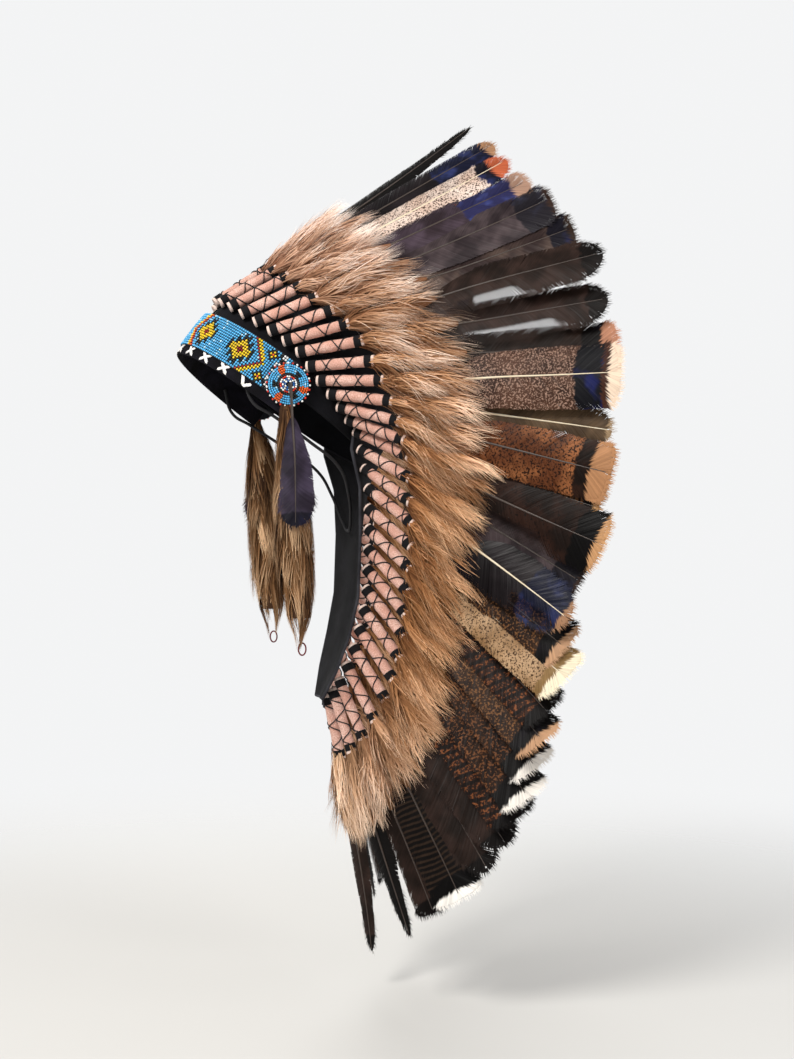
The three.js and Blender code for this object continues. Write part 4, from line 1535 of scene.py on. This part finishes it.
def fur_tail(side, label):
    patch = Patchwork()
    height = np.linspace(FUR["core_top"], FUR["core_low"], 16)[:, None]
    turn = circle(12)[None]
    core = tail_point(height + 0 * turn, turn + 0 * height, 0.7 + 0 * (turn + height))
    # The core is painted shade: darker than the strands' roots, standing for the shaded depth inside the
    # tail.
    patch.closed(core, tint=0.7 * FUR_STOPS[0])
    full = (FUR["locks"], FUR["strands"])
    lock = np.arange(FUR["locks"])[:, None]
    lock_turn = lock * GOLDEN_TURN
    lock_top = -12 - 150 * np.linspace(0, 1, FUR["locks"])[:, None] ** 1.1
    lock_low = np.maximum(lock_top - DRAW.uniform(50, 85, lock.shape), FUR["lowest"])
    lock_lean = DRAW.normal(0, 2.5, (len(lock), 1, 1, 2))
    lock_tone = DRAW.normal(0, 0.22, lock.shape)
    top = np.minimum(lock_top + DRAW.normal(0, 7, full), -10)
    low = lock_low + np.abs(DRAW.normal(0, 12, full))
    turn_0 = lock_turn + DRAW.normal(0, 0.5, full)
    turn_1 = lock_turn + DRAW.normal(0, 0.14, full)
    size_1 = DRAW.uniform(0.85, 1.15, lock.shape) + DRAW.normal(0, 0.06, full)
    tone = (lock_tone + DRAW.normal(0, 0.1, full)).reshape(-1, 1)
    q = np.linspace(0, 1, len(FUR_WIDTHS))
    height = top[..., None] + (low - top)[..., None] * q
    turn = turn_0[..., None] + (turn_1 - turn_0)[..., None] * q
    size = 0.6 + (size_1[..., None] - 0.6) * q**0.6
    line = tail_point(height, turn, size)
    line[..., :2] += lock_lean * (q**2)[:, None] + DRAW.normal(0, 0.5, (*full, 1, 2)) * (q**1.5)[:, None]
    line = line.reshape(-1, len(q), 3)
    axis = tail_point(line[..., 2], 0 * line[..., 2], 0 * line[..., 2])
    hair(patch, 0, line, unit(line - axis + 1e-6), FUR_WIDTHS, FUR_STOPS, tone)
    turn = np.linspace(0, 2 * math.pi, 22)
    across = LOOP["y"] + LOOP["wide"] * np.sin(turn)
    loop = np.stack([LOOP["x"] + 0 * turn, across, LOOP["z"] - LOOP["tall"] * np.cos(turn)], -1)
    patch.tube(loop, 0.7, 6, (1, 0.01, 0), slot=1)
    if side < 0:
        patch.mirror()
    made = patch.mesh(f"fur_tail_{label}", [down, loop_cord])
    return finish_piece(made, "fur", f"drop_fur_{label}")


for label, side in SIDES:
    print("fur tail:", len(fur_tail(side, label).data.polygons), "faces")


# %% Drop feathers
class Stem(Plume):
    """A hanging feather's frame: straight down from its top, its face to the side."""

    def __init__(self, top, tip, face_turn):
        self.base = np.array(top, float)
        way = np.array(tip, float) - self.base
        self.length = float(np.linalg.norm(way))
        self.ahead = unit(way)
        self.thick = unit(np.cross(np.array([0.0, 1.0, 0.0]), self.ahead))
        self.across = np.cross(self.ahead, self.thick)
        self.turn_vane(face_turn)


def drop_feather(side, label):
    patch = Patchwork()
    stem = Stem(DROP_FEATHER["top"], DROP_FEATHER["tip"], math.radians(8))
    start, half = DROP_FEATHER["start"], DROP_FEATHER["half"]
    Vane(patch, stem, start, stem.length, half, "hanging", (0, 1), DROP_BEND, lift=DROP_LIFT)
    centre = cap_point(np.array(ROSETTE["turn"]), np.array(ROSETTE["height"]), ROSETTE["out"] + 4.6)
    q = np.linspace(0, 1, 8)[:, None]
    line = centre + (stem.at(2.0) - centre) * q + np.array([1.2, 0, 0]) * np.sin(math.pi * q)
    patch.tube(line, 0.8, 6, (0, 1, 0.1), slot=2)
    if side < 0:
        patch.mirror()
    made = patch.mesh(f"drop_feather_vane_{label}", [VANES["hanging"], quill_dark, thread])
    return finish_piece(made, "drop_feather", f"drop_feather_{label}")


for label, side in SIDES:
    print("drop feather:", len(drop_feather(side, label).data.polygons), "faces")

# %% [markdown]
# ## Floor
# The headdress is held up as a head holds it, so nothing touches the floor. The floor is a
# plain pale disc below it that fades away at its edge.

# %% Floor
FLOOR = {"below": 40.0, "radius": 1500.0, "plain": 500.0, "colour": (0.6, 0.595, 0.575, 1)}


def add_floor():
    patch = Patchwork()
    radius = np.array([0.01, FLOOR["plain"], FLOOR["radius"]])
    turn = circle(64)
    low = cad_box[0][2] / MM - FLOOR["below"]
    x, y = radius[:, None] * np.cos(turn), radius[:, None] * np.sin(turn)
    patch.closed(np.stack([x, y, np.full(x.shape, low)], -1))
    plain = Finish("floor", Base_Color=FLOOR["colour"], Roughness=0.95)
    at = plain.node("ShaderNodeVectorMath", {"operation": "LENGTH"}, {0: plain.place()}, "Value")
    fade = 1.0 - at.step(FLOOR["plain"] * MM, FLOOR["radius"] * MM)
    plain.feed(plain.shader.inputs["Alpha"], fade)
    patch.mesh("floor", [plain])
    print("floor at", round(low), "mm")


add_floor()


# %% [markdown]
# ## Backdrop
# A bright room would fill the dark feathers with grey light. So the room's light is kept low,
# and a pale round backdrop, which only the lens sees, stands far behind everything.

# %% Backdrop
BACKDROP = {"radius": 7000, "colour": (0.9, 0.905, 0.91, 1)}


def add_backdrop():
    patch = Patchwork()
    up = np.linspace(-math.pi / 2, math.pi / 2, 24)[:, None]
    turn = circle(48)[None]
    ball = np.stack([np.cos(up) * np.cos(turn), np.cos(up) * np.sin(turn), np.sin(up) + 0 * turn], -1)
    patch.closed(BACKDROP["radius"] * ball)
    pale = Finish("backdrop", Base_Color=(0, 0, 0, 1), Specular_IOR_Level=0.0,
                  Emission_Strength=1.0, Emission_Color=BACKDROP["colour"])
    room = patch.mesh("backdrop", [pale])
    for ray in ("diffuse", "glossy", "transmission", "shadow"):
        setattr(room, f"visible_{ray}", False)
    print("backdrop ready")


add_backdrop()
